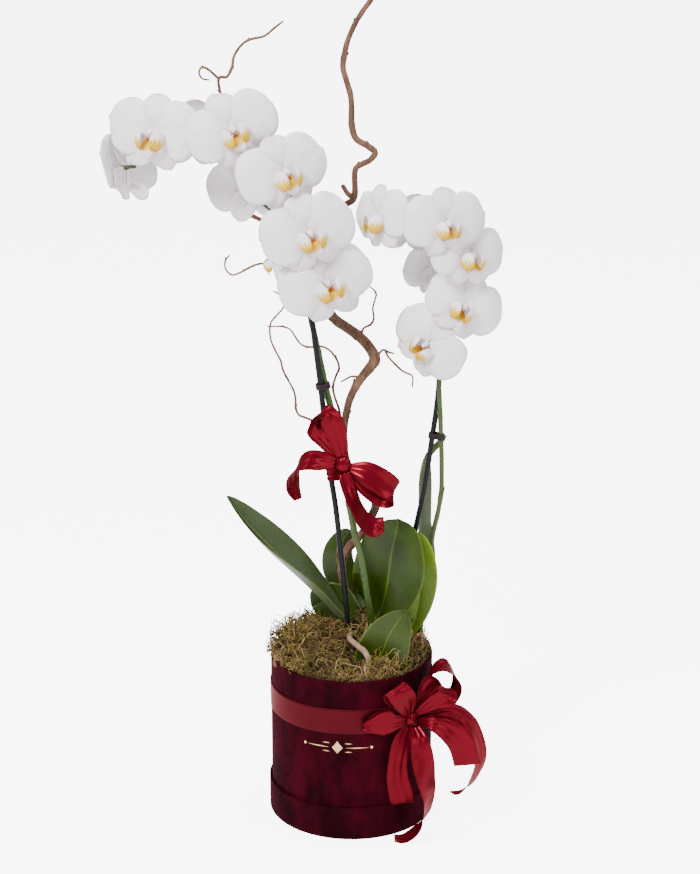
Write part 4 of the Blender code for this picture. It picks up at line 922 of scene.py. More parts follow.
@dataclass(frozen=True)
class Leaf(Finish):
    """A thick leathery leaf with a sunk midrib, faint long veins and a paler edge."""

    glow: float = 0.06

    def settings(self) -> dict[str, Any]:
        """Give the shader's constant values."""
        return {"Subsurface Weight": self.glow, "Subsurface Radius": (0.4, 1.0, 0.2),
                "Subsurface Scale": 0.003, "Coat Weight": 0.05, "Coat Roughness": 0.15,
                "Specular IOR Level": 0.24}

    def dress(self, g: Graph, shader: bpy.types.Node) -> None:
        """Draw the midrib, the veins and the edge.

        Args:
            g: The material's graph.
            shader: The Principled BSDF.
        """
        place, surface = object_place(g), surface_place(g)
        split = g.node("ShaderNodeSeparateXYZ", {0: surface}).outputs
        out = g.math("ABSOLUTE", g.math("SUBTRACT", split[0], 0.5))
        vein = self.group(g, Effect.VEINS, Place=surface, Count=26.0, Wander=0.03, Sharpness=2.0)
        cloud = self.mottle(g, place, scale=32.0, contrast=1.1)
        base = g.mix(cloud, self.tone(0.72), self.tone(1.28, (0.004, 0.006, 0.0)))
        base = g.mix(g.math("MULTIPLY", vein, 0.16), base, self.tone(1.5, (0.01, 0.02, 0.0)))
        midrib = g.math("MULTIPLY", g.step(out, 0.026, 0.004), 0.75)
        base = g.mix(midrib, base, self.tone(2.0, (0.03, 0.05, 0.004)))
        edge = g.math("MULTIPLY", g.step(out, 0.465, 0.5), 0.7)
        base = g.mix(edge, base, self.tone(2.0, (0.05, 0.06, 0.01)))
        foot = g.math("MULTIPLY", g.step(split[1], 0.14, 0.0), 0.6)
        g.tree.links.new(g.mix(foot, base, self.tone(1.7, (0.06, 0.06, 0.01))), shader.inputs["Base Color"])
        rough = g.math("ADD", g.math("MULTIPLY", cloud, 0.16), self.roughness)
        g.tree.links.new(rough, shader.inputs["Roughness"])
        self.relief(g, shader, scale=520.0, grain=0.3, height=g.math("MULTIPLY", vein, 0.25), depth=0.0003)


@dataclass(frozen=True)
class Bark(Finish):
    """Woody bark with long ridges, dark cracks and pale breathing spots."""

    spots: float = 0.4
    ridge: float = 0.0009

    def dress(self, g: Graph, shader: bpy.types.Node) -> None:
        """Streak the bark along the stem and speckle it.

        Args:
            g: The material's graph.
            shader: The Principled BSDF.
        """
        place = object_place(g)
        streak = self.mottle(g, g.stretched(place, (1.0, 1.0, 0.3)), scale=420.0, contrast=1.5)
        broad = self.mottle(g, place, scale=60.0, contrast=1.4)
        base = g.mix(streak, self.tone(0.45), self.tone(1.35, (0.02, 0.01, 0.006)))
        base = g.mix(g.math("MULTIPLY", broad, 0.5), base, self.tone(0.75, (0.03, 0.012, 0.008)))
        speck = g.math("MULTIPLY", g.step(g.noise(place, 850.0, 1.0), 0.63, 0.70), self.spots)
        g.tree.links.new(g.mix(speck, base, self.tone(2.2, (0.12, 0.09, 0.07))), shader.inputs["Base Color"])
        height = g.math("ADD", streak, g.math("MULTIPLY", speck, 0.5))
        self.relief(g, shader, scale=1100.0, grain=0.5, height=height, depth=self.ridge)


@dataclass(frozen=True)
class Strand(Finish):
    """Dried moss or fibre whose colour differs from strand to strand."""

    second: Colour = (0.1, 0.1, 0.1)
    third: Colour = (0.2, 0.1, 0.05)

    def dress(self, g: Graph, shader: bpy.types.Node) -> None:
        """Colour each strand by its own tone, and darken it in patches.

        Args:
            g: The material's graph.
            shader: The Principled BSDF.
        """
        place = object_place(g)
        tone = g.node("ShaderNodeAttribute", attribute_name="tone").outputs["Fac"]
        base = g.mix(g.step(tone, 0.15, 0.60), self.tone(1.0), (*self.second, 1.0))
        base = g.mix(g.step(tone, 0.72, 0.92), base, (*self.third, 1.0))
        patch = self.mottle(g, place, scale=65.0, contrast=1.5)
        shade = g.math("ADD", g.math("MULTIPLY", patch, 0.75), 0.4)
        dark = g.node("ShaderNodeCombineColor", {0: shade, 1: shade, 2: shade}).outputs[0]
        g.tree.links.new(g.mix(1.0, base, dark, "MULTIPLY"), shader.inputs["Base Color"])


@dataclass(frozen=True)
class Glossy(Finish):
    """Moulded or pressed material with a faint grain: a stake, a clip, a lining or foil."""

    metal: float = 0.0
    grain: float = 0.0002
    spread: float = 0.2

    def settings(self) -> dict[str, Any]:
        """Give the shader's constant values."""
        return {"Metallic": self.metal, "Specular IOR Level": 0.16}

    def dress(self, g: Graph, shader: bpy.types.Node) -> None:
        """Vary the colour and the gloss a little, and add the grain.

        Args:
            g: The material's graph.
            shader: The Principled BSDF.
        """
        place = object_place(g)
        cloud = self.mottle(g, place, scale=130.0, contrast=1.2)
        base = g.mix(cloud, self.tone(1.0 - self.spread), self.tone(1.0 + self.spread, (0.003, 0.003, 0.003)))
        g.tree.links.new(base, shader.inputs["Base Color"])
        rough = g.math("ADD", g.math("MULTIPLY", cloud, 0.15), self.roughness)
        g.tree.links.new(rough, shader.inputs["Roughness"])
        self.relief(g, shader, scale=900.0, grain=0.5, height=cloud, depth=self.grain)


@dataclass(frozen=True)
class Backdrop(Finish):
    """The pale studio floor, lit from within so that it stays plain."""

    glow: float = 0.25
    seen_glow: float = 6.0

    def settings(self) -> dict[str, Any]:
        """Give the shader's constant values."""
        return {"Roughness": self.roughness, "Emission Color": (1.0, 1.0, 1.0, 1.0),
                "Specular IOR Level": 0.1}

    def dress(self, g: Graph, shader: bpy.types.Node) -> None:
        """Let the floor look brighter than the light that it throws on the plants.

        Args:
            g: The material's graph.
            shader: The Principled BSDF.
        """
        seen = g.node("ShaderNodeLightPath").outputs["Is Camera Ray"]
        glow = g.math("ADD", g.math("MULTIPLY", seen, self.seen_glow), self.glow)
        g.tree.links.new(glow, shader.inputs["Emission Strength"])


VELVET = Velvet("burgundy_velvet", (0.0100, 0.0002, 0.0014), 0.85)
# The lid's velvet is a slightly darker copy of the box's velvet: painted shade on the lower part of the box.
SHADED_LID_VELVET = Velvet("burgundy_velvet_lid", (0.0092, 0.0002, 0.0013), 0.85)
SATIN = Satin("red_satin", (0.118, 0.0030, 0.0085), 0.25)
# The band's satin is a darker copy of the bows' satin: painted shade on the band.
SHADED_BAND_SATIN = Satin("red_satin_band", (0.055, 0.0028, 0.0055), 0.30)
PETAL = Petal("white_petal", (0.88, 0.825, 0.850), 0.5, flush=0.10)
SEPAL = Petal("flushed_sepal", (0.86, 0.785, 0.825), 0.5, flush=0.5)
LIP = Lip("gold_barred_lip", (0.82, 0.76, 0.78), 0.4)
COLUMN = Fleshy("pink_white_column", (0.88, 0.82, 0.84), 0.4, second=(0.78, 0.56, 0.62), scale=260.0,
                glow=0.2)
CALLUS = Fleshy("orange_callus", (0.55, 0.16, 0.0), 0.35, second=(0.25, 0.035, 0.002), scale=500.0)
# The pores are dark bodies: painted shade for the hollows in the column's tip.
PORE_SHADE = Fleshy("dark_pore", (0.06, 0.03, 0.02), 0.4, second=(0.12, 0.05, 0.04), scale=500.0)
STEM = Fleshy("green_stem", (0.028, 0.070, 0.005), 0.4, second=(0.045, 0.050, 0.012), scale=110.0, glow=0.03)
LEAF_BRIGHT = Leaf("bright_leaf", (0.092, 0.160, 0.0040), 0.30)
LEAF_MIDDLE = Leaf("middle_leaf", (0.022, 0.037, 0.0016), 0.30)
LEAF_UNDER = Leaf("leaf_underside", (0.062, 0.082, 0.036), 0.26)
LEAF_DEEP = Leaf("deep_leaf", (0.0165, 0.032, 0.0012), 0.26)
LEAF_MATT = Leaf("matt_leaf", (0.028, 0.046, 0.013), 0.26)
WILLOW = Bark("willow_bark", (0.120, 0.060, 0.037), 0.75)
WILLOW_TWIG = Bark("willow_twig_bark", (0.150, 0.072, 0.044), 0.65, spots=0.2, ridge=0.0004)
ROOT = Bark("aerial_root", (0.25, 0.155, 0.105), 0.7, spots=0.3, ridge=0.0004)
PINE_BARK = Bark("pine_bark", (0.13, 0.06, 0.03), 0.95, spots=0.1, ridge=0.002)
MOSS_BED = Bark("moss_bed", (0.024, 0.015, 0.006), 1.0, spots=0.2, ridge=0.002)
MOSS_GREEN = Strand("green_moss", (0.120, 0.115, 0.014), 0.9, second=(0.26, 0.18, 0.050),
                    third=(0.075, 0.038, 0.015))
MOSS_BROWN = Strand("brown_moss", (0.22, 0.13, 0.055), 0.9, second=(0.095, 0.048, 0.020),
                    third=(0.42, 0.29, 0.15))
TWIGGY = Strand("reddish_fibre", (0.20, 0.085, 0.05), 0.85, second=(0.33, 0.19, 0.11),
                third=(0.10, 0.04, 0.03))
STAKE = Glossy("dark_stake", (0.0055, 0.0050, 0.0058), 0.3)
CLIP = Glossy("dark_clip", (0.016, 0.008, 0.011), 0.35)
LINER = Glossy("clear_liner", (0.55, 0.55, 0.52), 0.3)
FOIL = Glossy("gold_foil", (0.78, 0.50, 0.22), 0.3, metal=0.85, grain=0.0001, spread=0.15)
FLOOR = Backdrop("pale_floor", (0.93, 0.93, 0.93), 0.7)


# ---------------------------------------------------------------- box


def on_wall(run: np.ndarray, out: np.ndarray | float, level: np.ndarray) -> np.ndarray:
    """Bend a flat layout round the box's wall.

    Args:
        run: Distance to the right along the wall, in metres, from the bow's bearing.
        out: Distance out from the wall.
        level: Height above the ground.

    Returns:
        Points in world coordinates.
    """
    angle = BOW_BEARING + run / BOX_RADIUS
    reach = BOX_RADIUS + out
    return np.stack([reach * np.cos(angle), reach * np.sin(angle), level + 0 * angle], axis=-1)


@dataclass
class HatBox:
    """The velvet hat box in its upturned lid, with its satin band and gilt ornament."""

    sides: int = 200
    wall: float = 0.0023
    roll: float = 0.0011
    base: float = 0.0022
    foot: float = 0.0012
    lap: float = 0.10
    satin: float = 0.0004
    ornament_level: float = 0.097
    ornament_run: float = -0.0754

    def cup(self, node: str) -> Shape:
        """Turn a covered cup with a rolled rim and a soft bottom edge.

        Args:
            node: The CAD node whose outer size it takes.

        Returns:
            The cup.
        """
        low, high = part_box(node)
        out, bottom, top = high[0], low[2], high[2]
        turn = [math.radians(15 * i) for i in range(13)]
        roll, soft = self.roll, self.foot
        rim = [(out - roll - roll * math.cos(a), top - roll + roll * math.sin(a)) for a in turn]
        inside = out - self.wall
        rows = [(share * inside, bottom + self.base) for share in (0.0, 0.5, 1.0)]
        rows += [(inside, bottom + (top - bottom) * i / 6) for i in range(1, 6)]
        rows += rim
        rows += [(out, bottom + (top - bottom) * i / 24) for i in range(23, 1, -1)]
        foot = [(out - soft + soft * math.cos(a), bottom + soft - soft * math.sin(a)) for a in turn[:7]]
        return lathe([*rows, *foot, (0.0, bottom)], self.sides)

    def seam(self, node: str) -> Shape:
        """Lay the lapped end of the velvet cover down the back of a cup.

        Args:
            node: The CAD node whose outer size it takes.

        Returns:
            The lap.
        """
        low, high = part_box(node)
        levels = np.linspace(low[2] + 0.002, high[2] - 0.0016, 30)[:, None]
        across = np.linspace(-0.006, 0.006, 7)[None, :]
        angle = math.pi / 2 + across / high[0] + 0 * levels
        reach = high[0] + 0.0001 - 0.0005 * (across / 0.006) ** 2
        grid = np.stack([reach * np.cos(angle), reach * np.sin(angle), levels + 0 * angle], axis=-1)
        return slab(grid, 0.0008)

    def mark(self, run: float, level: float, half: float, height: float, power: float) -> Shape:
        """Press one spindle-shaped mark of foil on the wall.

        Args:
            run: Its middle along the wall.
            level: Its height above the ground.
            half: Half its length.
            height: Half its height.
            power: How its outline narrows: 1 gives a diamond and 0.5 an ellipse.

        Returns:
            The mark.
        """
        along = np.linspace(-1, 1, 17)[:, None]
        across = np.linspace(-1, 1, 5)[None, :]
        tall = np.maximum(0.02, (1 - np.abs(along) ** (1 / power)) ** power) * height
        grid = on_wall(self.ornament_run + run + along * half + 0 * across, 0.00012, level + tall * across)
        return slab(grid, 0.00022, 1)

    def ornament(self) -> list[Shape]:
        """Lay out the foil ornament: a diamond between tapering rules, with small dots.

        Returns:
            The marks of foil.
        """
        level = self.ornament_level
        marks = [self.mark(0.0, level, 0.0052, 0.0064, 1.0)]
        for side in (-1, 1):
            marks.append(self.mark(side * 0.0195, level, 0.0115, 0.00055, 1.0))
            marks.append(self.mark(side * 0.0335, level, 0.0014, 0.0014, 0.5))
            marks.append(self.mark(side * 0.0110, level + 0.0044, 0.0038, 0.00048, 1.0))
            marks.append(self.mark(side * 0.0110, level - 0.0044, 0.0038, 0.00048, 1.0))
        return marks

    def band(self) -> None:
        """Stretch the satin band round the box, its end lapped over its start at the back."""
        turn = np.linspace(0, 2 * math.pi + self.lap, 261)[:, None]
        across = np.linspace(0, 1, 13)[None, :]
        lap = np.clip((turn - 2 * math.pi + 0.02) / 0.05, 0, 1)
        pucker = 0.00016 * np.sin(across * 26 + 3 * np.sin(turn * 3)) * np.exp(-((turn - 3.1) / 0.35) ** 2)
        reach = BOX_RADIUS + 0.00052 + 0.0006 * lap + pucker + 0.00008 * np.sin(turn * 9 + across * 4)
        angle = math.pi / 2 - 0.4 + turn
        level = BAND_LOW + 0.0003 + (BAND_HIGH - BAND_LOW - 0.0006) * across + 0.0003 * np.sin(turn * 2)
        grid = np.stack([reach * np.cos(angle), reach * np.sin(angle), level], axis=-1)
        # The band takes the darker, painted-shade copy of the satin.
        piece = as_object("ribbon_band_satin", [slab(grid, self.satin)], [SHADED_BAND_SATIN.build()])
        settle(piece, "red_satin", "ribbon_band")

    def build(self) -> None:
        """Build the box, its lid and its band."""
        box = [self.cup("box_body"), self.seam("box_body"), *self.ornament()]
        body = as_object("box_body_velvet", box, [VELVET.build(), FOIL.build()])
        settle(body, "burgundy_velvet", "box_body")
        lid = [self.cup("lid"), self.seam("lid")]
        # The lid takes the darker, painted-shade copy of the velvet.
        settle(as_object("lid_velvet", lid, [SHADED_LID_VELVET.build()]), "burgundy_velvet", "lid")
        self.band()


# ---------------------------------------------------------------- bows


class Hold(Enum):
    """How a length of ribbon is held."""

    LOOP = "folded"
    TAIL = "hung"


def off_rim(points: np.ndarray) -> np.ndarray:
    """Turn plant coordinates into metres."""
    return points * MM + np.array([0.0, 0.0, RIM])


def off_band(points: np.ndarray) -> np.ndarray:
    """Turn box bow coordinates into metres."""
    return on_wall(points[..., 0] * MM, points[..., 1] * MM, BAND_LEVEL + points[..., 2] * MM)


@dataclass
class Bow:
    """A satin bow: a pleated knot with loops and tails that leave it."""

    stations: dict[str, list[Station]]
    place: Place
    knot: str
    centre: tuple[float, ...]
    turn: float
    seed: int
    columns: int = 17
    step: float = 1.6
    thickness: float = 0.00042
    slant: float = 0.28

    def ribbon(self, name: str, seed: int) -> tuple[Shape, float]:
        """Run a pleated ribbon through its stations.

        Args:
            name: The CAD node that it stands for.
            seed: The seed of its creases.

        Returns:
            The ribbon and its length in metres.
        """
        rng = np.random.default_rng(seed)
        rows = [(*point, *Vector(side).normalized(), share) for point, side, share in self.stations[name]]
        path = smooth_path(rows, self.step)
        centre = self.place(path[:, :3])
        along = unit(np.gradient(centre, axis=0))
        side = self.place(path[:, :3] + path[:, 3:6]) - centre
        side = unit(side - along * np.sum(side * along, axis=1, keepdims=True))
        normal = np.cross(along, side)
        share = (np.clip(path[:, 6], 0.12, 1.0) ** 0.72)[:, None]
        run = np.linspace(0, path_length(centre), len(path))[:, None]
        v = np.linspace(-1, 1, self.columns)[None, :]
        half = share * RIBBON_WIDTH / 2 * MM
        phase, lean = rng.uniform(0, 6.28), rng.uniform(-1, 1)
        pleat = np.cos(v * 3 * math.pi + phase + run * 18 * lean) * np.clip(1 - share, 0, 0.8) * 0.00115
        soft = np.sin(v * 1.9 + run * 85 + phase) * 0.0006 + np.sin(v * 3.4 - run * 60) * 0.00018
        crease = np.zeros_like(pleat)
        for _ in range(3):
            at, tilt = rng.uniform(0.15, 0.85) * run[-1, 0], rng.uniform(-0.5, 0.5)
            crease -= 0.0005 * np.exp(-np.abs(run - at - tilt * v * half) / 0.0022)
        curl = 0.0006 * (v ** 2 - 0.3) * share
        lift = pleat + soft + crease + curl
        end = np.clip(1 - (run[-1] - run) / 0.012, 0, 1) if "tail" in name else 0 * run
        slide = self.slant * end * half * v
        grid = (centre[:, None] + side[:, None] * (half * v)[..., None] + normal[:, None] * lift[..., None]
                + along[:, None] * slide[..., None])
        return slab(grid, self.thickness), float(run[-1, 0])

    def knot_body(self) -> Shape:
        """Build the knot as a firm body wrapped in slanting pleats.

        Returns:
            The knot, in its place.
        """
        def pleats(h: np.ndarray, a: np.ndarray) -> np.ndarray:
            """Sink sharp valleys between soft pleats."""
            wave = np.abs(np.sin(3.0 * a + 2.4 * h + 0.5 * np.sin(5 * h)))
            return -0.13 * (1 - wave) ** 2 + 0.03 * np.sin(9 * h + a)

        radii = [r * MM for r in KNOT_SIZE]
        shape = egg((0, 0, 0), radii, 0, rows=26, sides=60, dent=pleats)
        middle = self.place(np.array([self.centre], float))[0]
        return moved(shape, Matrix.Translation(middle) @ Matrix.Rotation(self.turn, 4, "Z"))

    def build(self, rests_on: Sequence[str]) -> None:
        """Build the knot and every ribbon.

        Args:
            rests_on: What the ribbons lie on. Not used.
        """
        satin = SATIN.build()
        knot = as_object(self.knot + "_satin", [self.knot_body()], [satin])
        settle(knot, "red_satin", self.knot)
        for k, name in enumerate(self.stations):
            shape, length = self.ribbon(name, self.seed + k)
            piece = settle(as_object(name + "_satin", [shape], [satin]), "red_satin", name)


@dataclass
class StemWrap:
    """The ribbon wound round the stake and the front spike, gathered into level pleats."""

    level: float = TIE_LEVEL
    height: float = 22.0
    stake_reach: float = 3.5
    spike_reach: float = 4.2
    fold: float = 0.45
    pleats: float = 4.5
    satin: float = 0.0004

    def build(self) -> None:
        """Build the wrap from the outline round both stems at each level."""
        columns, rows = 17, 97
        turn = np.linspace(0, 2 * math.pi + 0.5, rows)
        stake = np.array(STAKES["stake_front"], float)
        spike = np.array(SPIKES["spike_front"], float)
        grid = np.zeros((rows, columns, 3))
        for j, share in enumerate(np.linspace(-0.5, 0.5, columns)):
            level = self.level + self.height * share
            centres = [at_level(stake, level), at_level(spike, level)]
            fold = self.fold * math.cos(share * 2 * math.pi * self.pleats)
            for i, angle in enumerate(turn):
                out = np.array([math.cos(angle + 1.6), math.sin(angle + 1.6), 0.0])
                lap = 0.7 * min(1.0, max(0.0, (angle - 5.9) / 0.3))
                wave = fold * (1 + 0.4 * math.sin(2 * angle + 7 * share)) + lap
                reach = [self.stake_reach + wave, self.spike_reach + wave]
                best = max((0, 1), key=lambda k: centres[k] @ out + reach[k])
                grid[i, j] = centres[best] + out * reach[best]
        grid = off_rim(grid)
        piece = as_object("stem_bow_wrap_satin", [slab(grid, self.satin)], [SATIN.build()])
        settle(piece, "red_satin", "stem_bow_wrap")


# ---------------------------------------------------------------- plants


def facing(yaw: float, pitch: float, roll: float) -> Matrix:
    """Give the turn of a blossom, whose +Z looks out of its face and +Y is its upper side.

    Args:
        yaw: Degrees to the right.
        pitch: Degrees up.
        roll: Degrees round its own axis.

    Returns:
        The turn.
    """
    turn = Matrix.Rotation(math.radians(yaw), 4, "Z") @ Matrix.Rotation(math.radians(90 - pitch), 4, "X")
    return turn @ Matrix.Rotation(math.radians(roll), 4, "Z")


@dataclass(frozen=True)
class Tepal:
    """One tepal of a flower of unit width: where it points, its size and how it bends."""

    angle: float
    length: float
    width: float
    foot: float
    rise: float
    bow: float
    outline: tuple[float, float]
    finish: int

    def grid(self, rng: np.random.Generator, rows: int = 21, columns: int = 13) -> np.ndarray:
        """Shape the blade.

        Args:
            rng: Source of its small irregularities.
            rows: Rows from foot to tip.
            columns: Columns across.

        Returns:
            A grid of points.
        """
        u = (0.5 - 0.5 * np.cos(np.linspace(0, math.pi, rows)))[:, None]
        v = np.linspace(-1, 1, columns)[None, :]
        a, b = self.outline
        peak = a / (a + b)
        shape = (np.maximum(u, 1e-4) / peak) ** a * (np.maximum(1 - u, 1e-4) / (1 - peak)) ** b
        half = np.maximum(shape * self.width / 2 * rng.uniform(0.97, 1.03), 0.006 + 0.03 * (1 - u))
        phase = rng.uniform(0, 6.28, 3)
        x = half * v * (1 + 0.02 * np.sin(9 * u + phase[0]))
        y = self.foot + self.length * rng.uniform(0.97, 1.03) * u + 0.012 * v * np.sin(3 * u + phase[2])
        crease = 0.010 * np.exp(-(v / 0.08) ** 2)
        cup = 0.034 * np.sin(math.pi * u) - self.bow * u ** 2.2 - 0.20 * half * v ** 2 - crease
        wave = 0.017 * np.abs(v) ** 2.5 * np.sin(11 * u + phase[1] + 2 * v) * np.sqrt(u)
        z = self.rise * np.ones_like(x) + cup + wave
        turn = math.radians(self.angle + rng.uniform(-2.5, 2.5))
        cos, sin = math.cos(turn), math.sin(turn)
        return np.stack([x * cos + y * sin, y * cos - x * sin, z], -1)


TEPALS = (
    Tepal(0.0, 0.405, 0.375, 0.008, -0.014, 0.05, (0.50, 0.46), 1),
    Tepal(146.0, 0.405, 0.310, 0.008, -0.016, 0.07, (0.56, 0.52), 1),
    Tepal(-146.0, 0.405, 0.310, 0.008, -0.016, 0.07, (0.56, 0.52), 1),
    Tepal(79.0, 0.495, 0.60, 0.006, 0.010, 0.08, (0.46, 0.44), 0),
    Tepal(-79.0, 0.495, 0.60, 0.006, 0.004, 0.08, (0.46, 0.44), 0),
)


@dataclass
class Blossom:
    """A moth orchid's flower: three sepals, two broad petals, a lobed lip, a column and a receptacle."""

    name: str
    centre: tuple[float, ...]
    width: float
    turn: Matrix
    seed: int
    blade: float = 0.0075
    lip_size: tuple[float, ...] = (1.16, 1.14, 1.06, 1.0)

    def lobe(self, side: int) -> Shape:
        """Cup one side lobe of the lip round the column.

        Args:
            side: 1 for the right lobe and -1 for the left.

        Returns:
            The lobe.
        """
        p, q = np.meshgrid(np.linspace(-1, 1, 9), np.linspace(-1, 1, 9))
        a, b = p * np.sqrt(1 - q ** 2 / 2), q * np.sqrt(1 - p ** 2 / 2)
        out = Vector((side * 0.80, -0.10, 0.42)).normalized()
        right = Vector((0, 1, 0)).cross(out).normalized()
        up = out.cross(right)
        spread = math.tan(math.radians(50))
        fan = a[..., None] * 0.8 * np.array(right) + b[..., None] * np.array(up)
        rays = unit(np.array(out) + spread * fan)
        return slab(np.array([0, -0.055, 0.07]) + rays * 0.132, 0.007, 2)

    def tongue(self) -> Shape:
        """Shape the lip's middle lobe, a keeled arrowhead that points down and out.

        Returns:
            The lobe.
        """
        spine = np.array([(0, -0.060, 0.050), (0, -0.105, 0.095), (0, -0.150, 0.105), (0, -0.190, 0.092),
                          (0, -0.232, 0.070)])
        half = np.array([0.032, 0.052, 0.074, 0.046, 0.007])
        t = np.linspace(0, 1, 13)
        spine = np.column_stack([np.interp(t, np.linspace(0, 1, 5), spine[:, c]) for c in range(3)])
        half = np.interp(t, np.linspace(0, 1, 5), half)[:, None]
        v = np.linspace(-1, 1, 9)[None, :]
        grid = spine[:, None] + np.stack([half * v, 0 * half * v, 0.35 * half * np.abs(v)], axis=-1)
        return slab(grid, 0.009, 2)

    def heart(self) -> list[Shape]:
        """Build the column with its cap and pores, the callus, the tendrils and the receptacle.

        Returns:
            The small bodies.
        """
        column = [(0, 0.004, 0.0, 0.024), (0, 0.010, 0.03, 0.028), (0, 0.006, 0.065, 0.034),
                  (0, -0.006, 0.09, 0.031)]
        shapes = [sweep(smooth_path(column, 0.012), 14, None, 3)]
        shapes.append(egg((0, -0.014, 0.104), (0.027, 0.024, 0.018), 3))
        # Two small dark bodies stand for the pores: painted shade for the hollows in the column's tip.
        shapes += [egg((s * 0.011, -0.026, 0.117), (0.0045, 0.0045, 0.004), 5, 6, 8) for s in (-1, 1)]
        shapes += [egg((s * 0.013, -0.060, 0.088), (0.014, 0.017, 0.016), 4) for s in (-1, 1)]
        for s in (-1, 1):
            curl = [(0, -0.228, 0.071, 0.006), (s * 0.018, -0.247, 0.08, 0.004),
                    (s * 0.034, -0.238, 0.10, 0.003)]
            shapes.append(sweep(smooth_path(curl, 0.008), 7, None, 2))
        back = RECEPTACLE_BACK / FLOWER_WIDTH
        stalk = [(0, 0, -back, 0.020), (0, 0, -back / 2, 0.024), (0, 0, 0.0, 0.034)]
        shapes.append(sweep(smooth_path(stalk, 0.02), 12, None, 6))
        return shapes

    def build(self) -> None:
        """Build the flower and put it on its pedicel."""
        rng = np.random.default_rng(self.seed)
        shapes = [slab(t.grid(rng), self.blade, t.finish) for t in TEPALS]
        lip = (self.lobe(1), self.lobe(-1), self.tongue())
        shapes += [moved(s, Matrix.Diagonal(self.lip_size)) for s in lip] + self.heart()
        middle = Vector(self.centre) * MM + Vector((0, 0, RIM))
        matrix = Matrix.Translation(middle) @ self.turn @ Matrix.Scale(self.width * MM, 4)
        finishes = [f.build() for f in (PETAL, SEPAL, LIP, COLUMN, CALLUS, PORE_SHADE, STEM)]
        flower = as_object(self.name + "_flower", [moved(s, matrix) for s in shapes], finishes)
        settle(flower, "orchid_petal", self.name)


# Leaves that aren't deep green
LEAF_TINTS = {"leaf_long_left": LEAF_MATT, "leaf_broad_right": LEAF_BRIGHT, "leaf_tall_right": LEAF_MIDDLE,
              "leaf_offshoot": LEAF_MIDDLE}
# Leaves that differ from the common form: share of the width at the foot, where the blade is widest,
# how pointed its tip is, shares of its width and fold, and how much more its front half folds
LEAF_FORMS = {
    "leaf_long_left": (0.42, 0.50, 0.66, 0.90, 1.4, 2.5),
    "leaf_offshoot": (0.90, 0.25, 0.60, 0.98, 1.3, 1.0),
    "leaf_tall_right": (0.30, 0.50, 0.70, 1.0, 1.6, 1.0),
    "leaf_broad_front": (0.30, 0.55, 0.47, 1.0, 1.8, 1.0),
}


def node_swell(marks: Sequence[float], size: float) -> Callable:
    """Give a ripple that swells at some distances along a stem.

    Args:
        marks: The distances, in metres.
        size: The share by which the stem grows there.

    Returns:
        The ripple.
    """
    def ripple(run: np.ndarray, angle: np.ndarray) -> np.ndarray:
        """Swell at the marks, with a faint unevenness between them."""
        swell = sum(np.exp(-((run - mark) / 0.0021) ** 2) for mark in marks) * size
        return swell + 0.03 * np.sin(3 * angle + run * 120) + 0.02 * np.sin(run * 400)

    return ripple


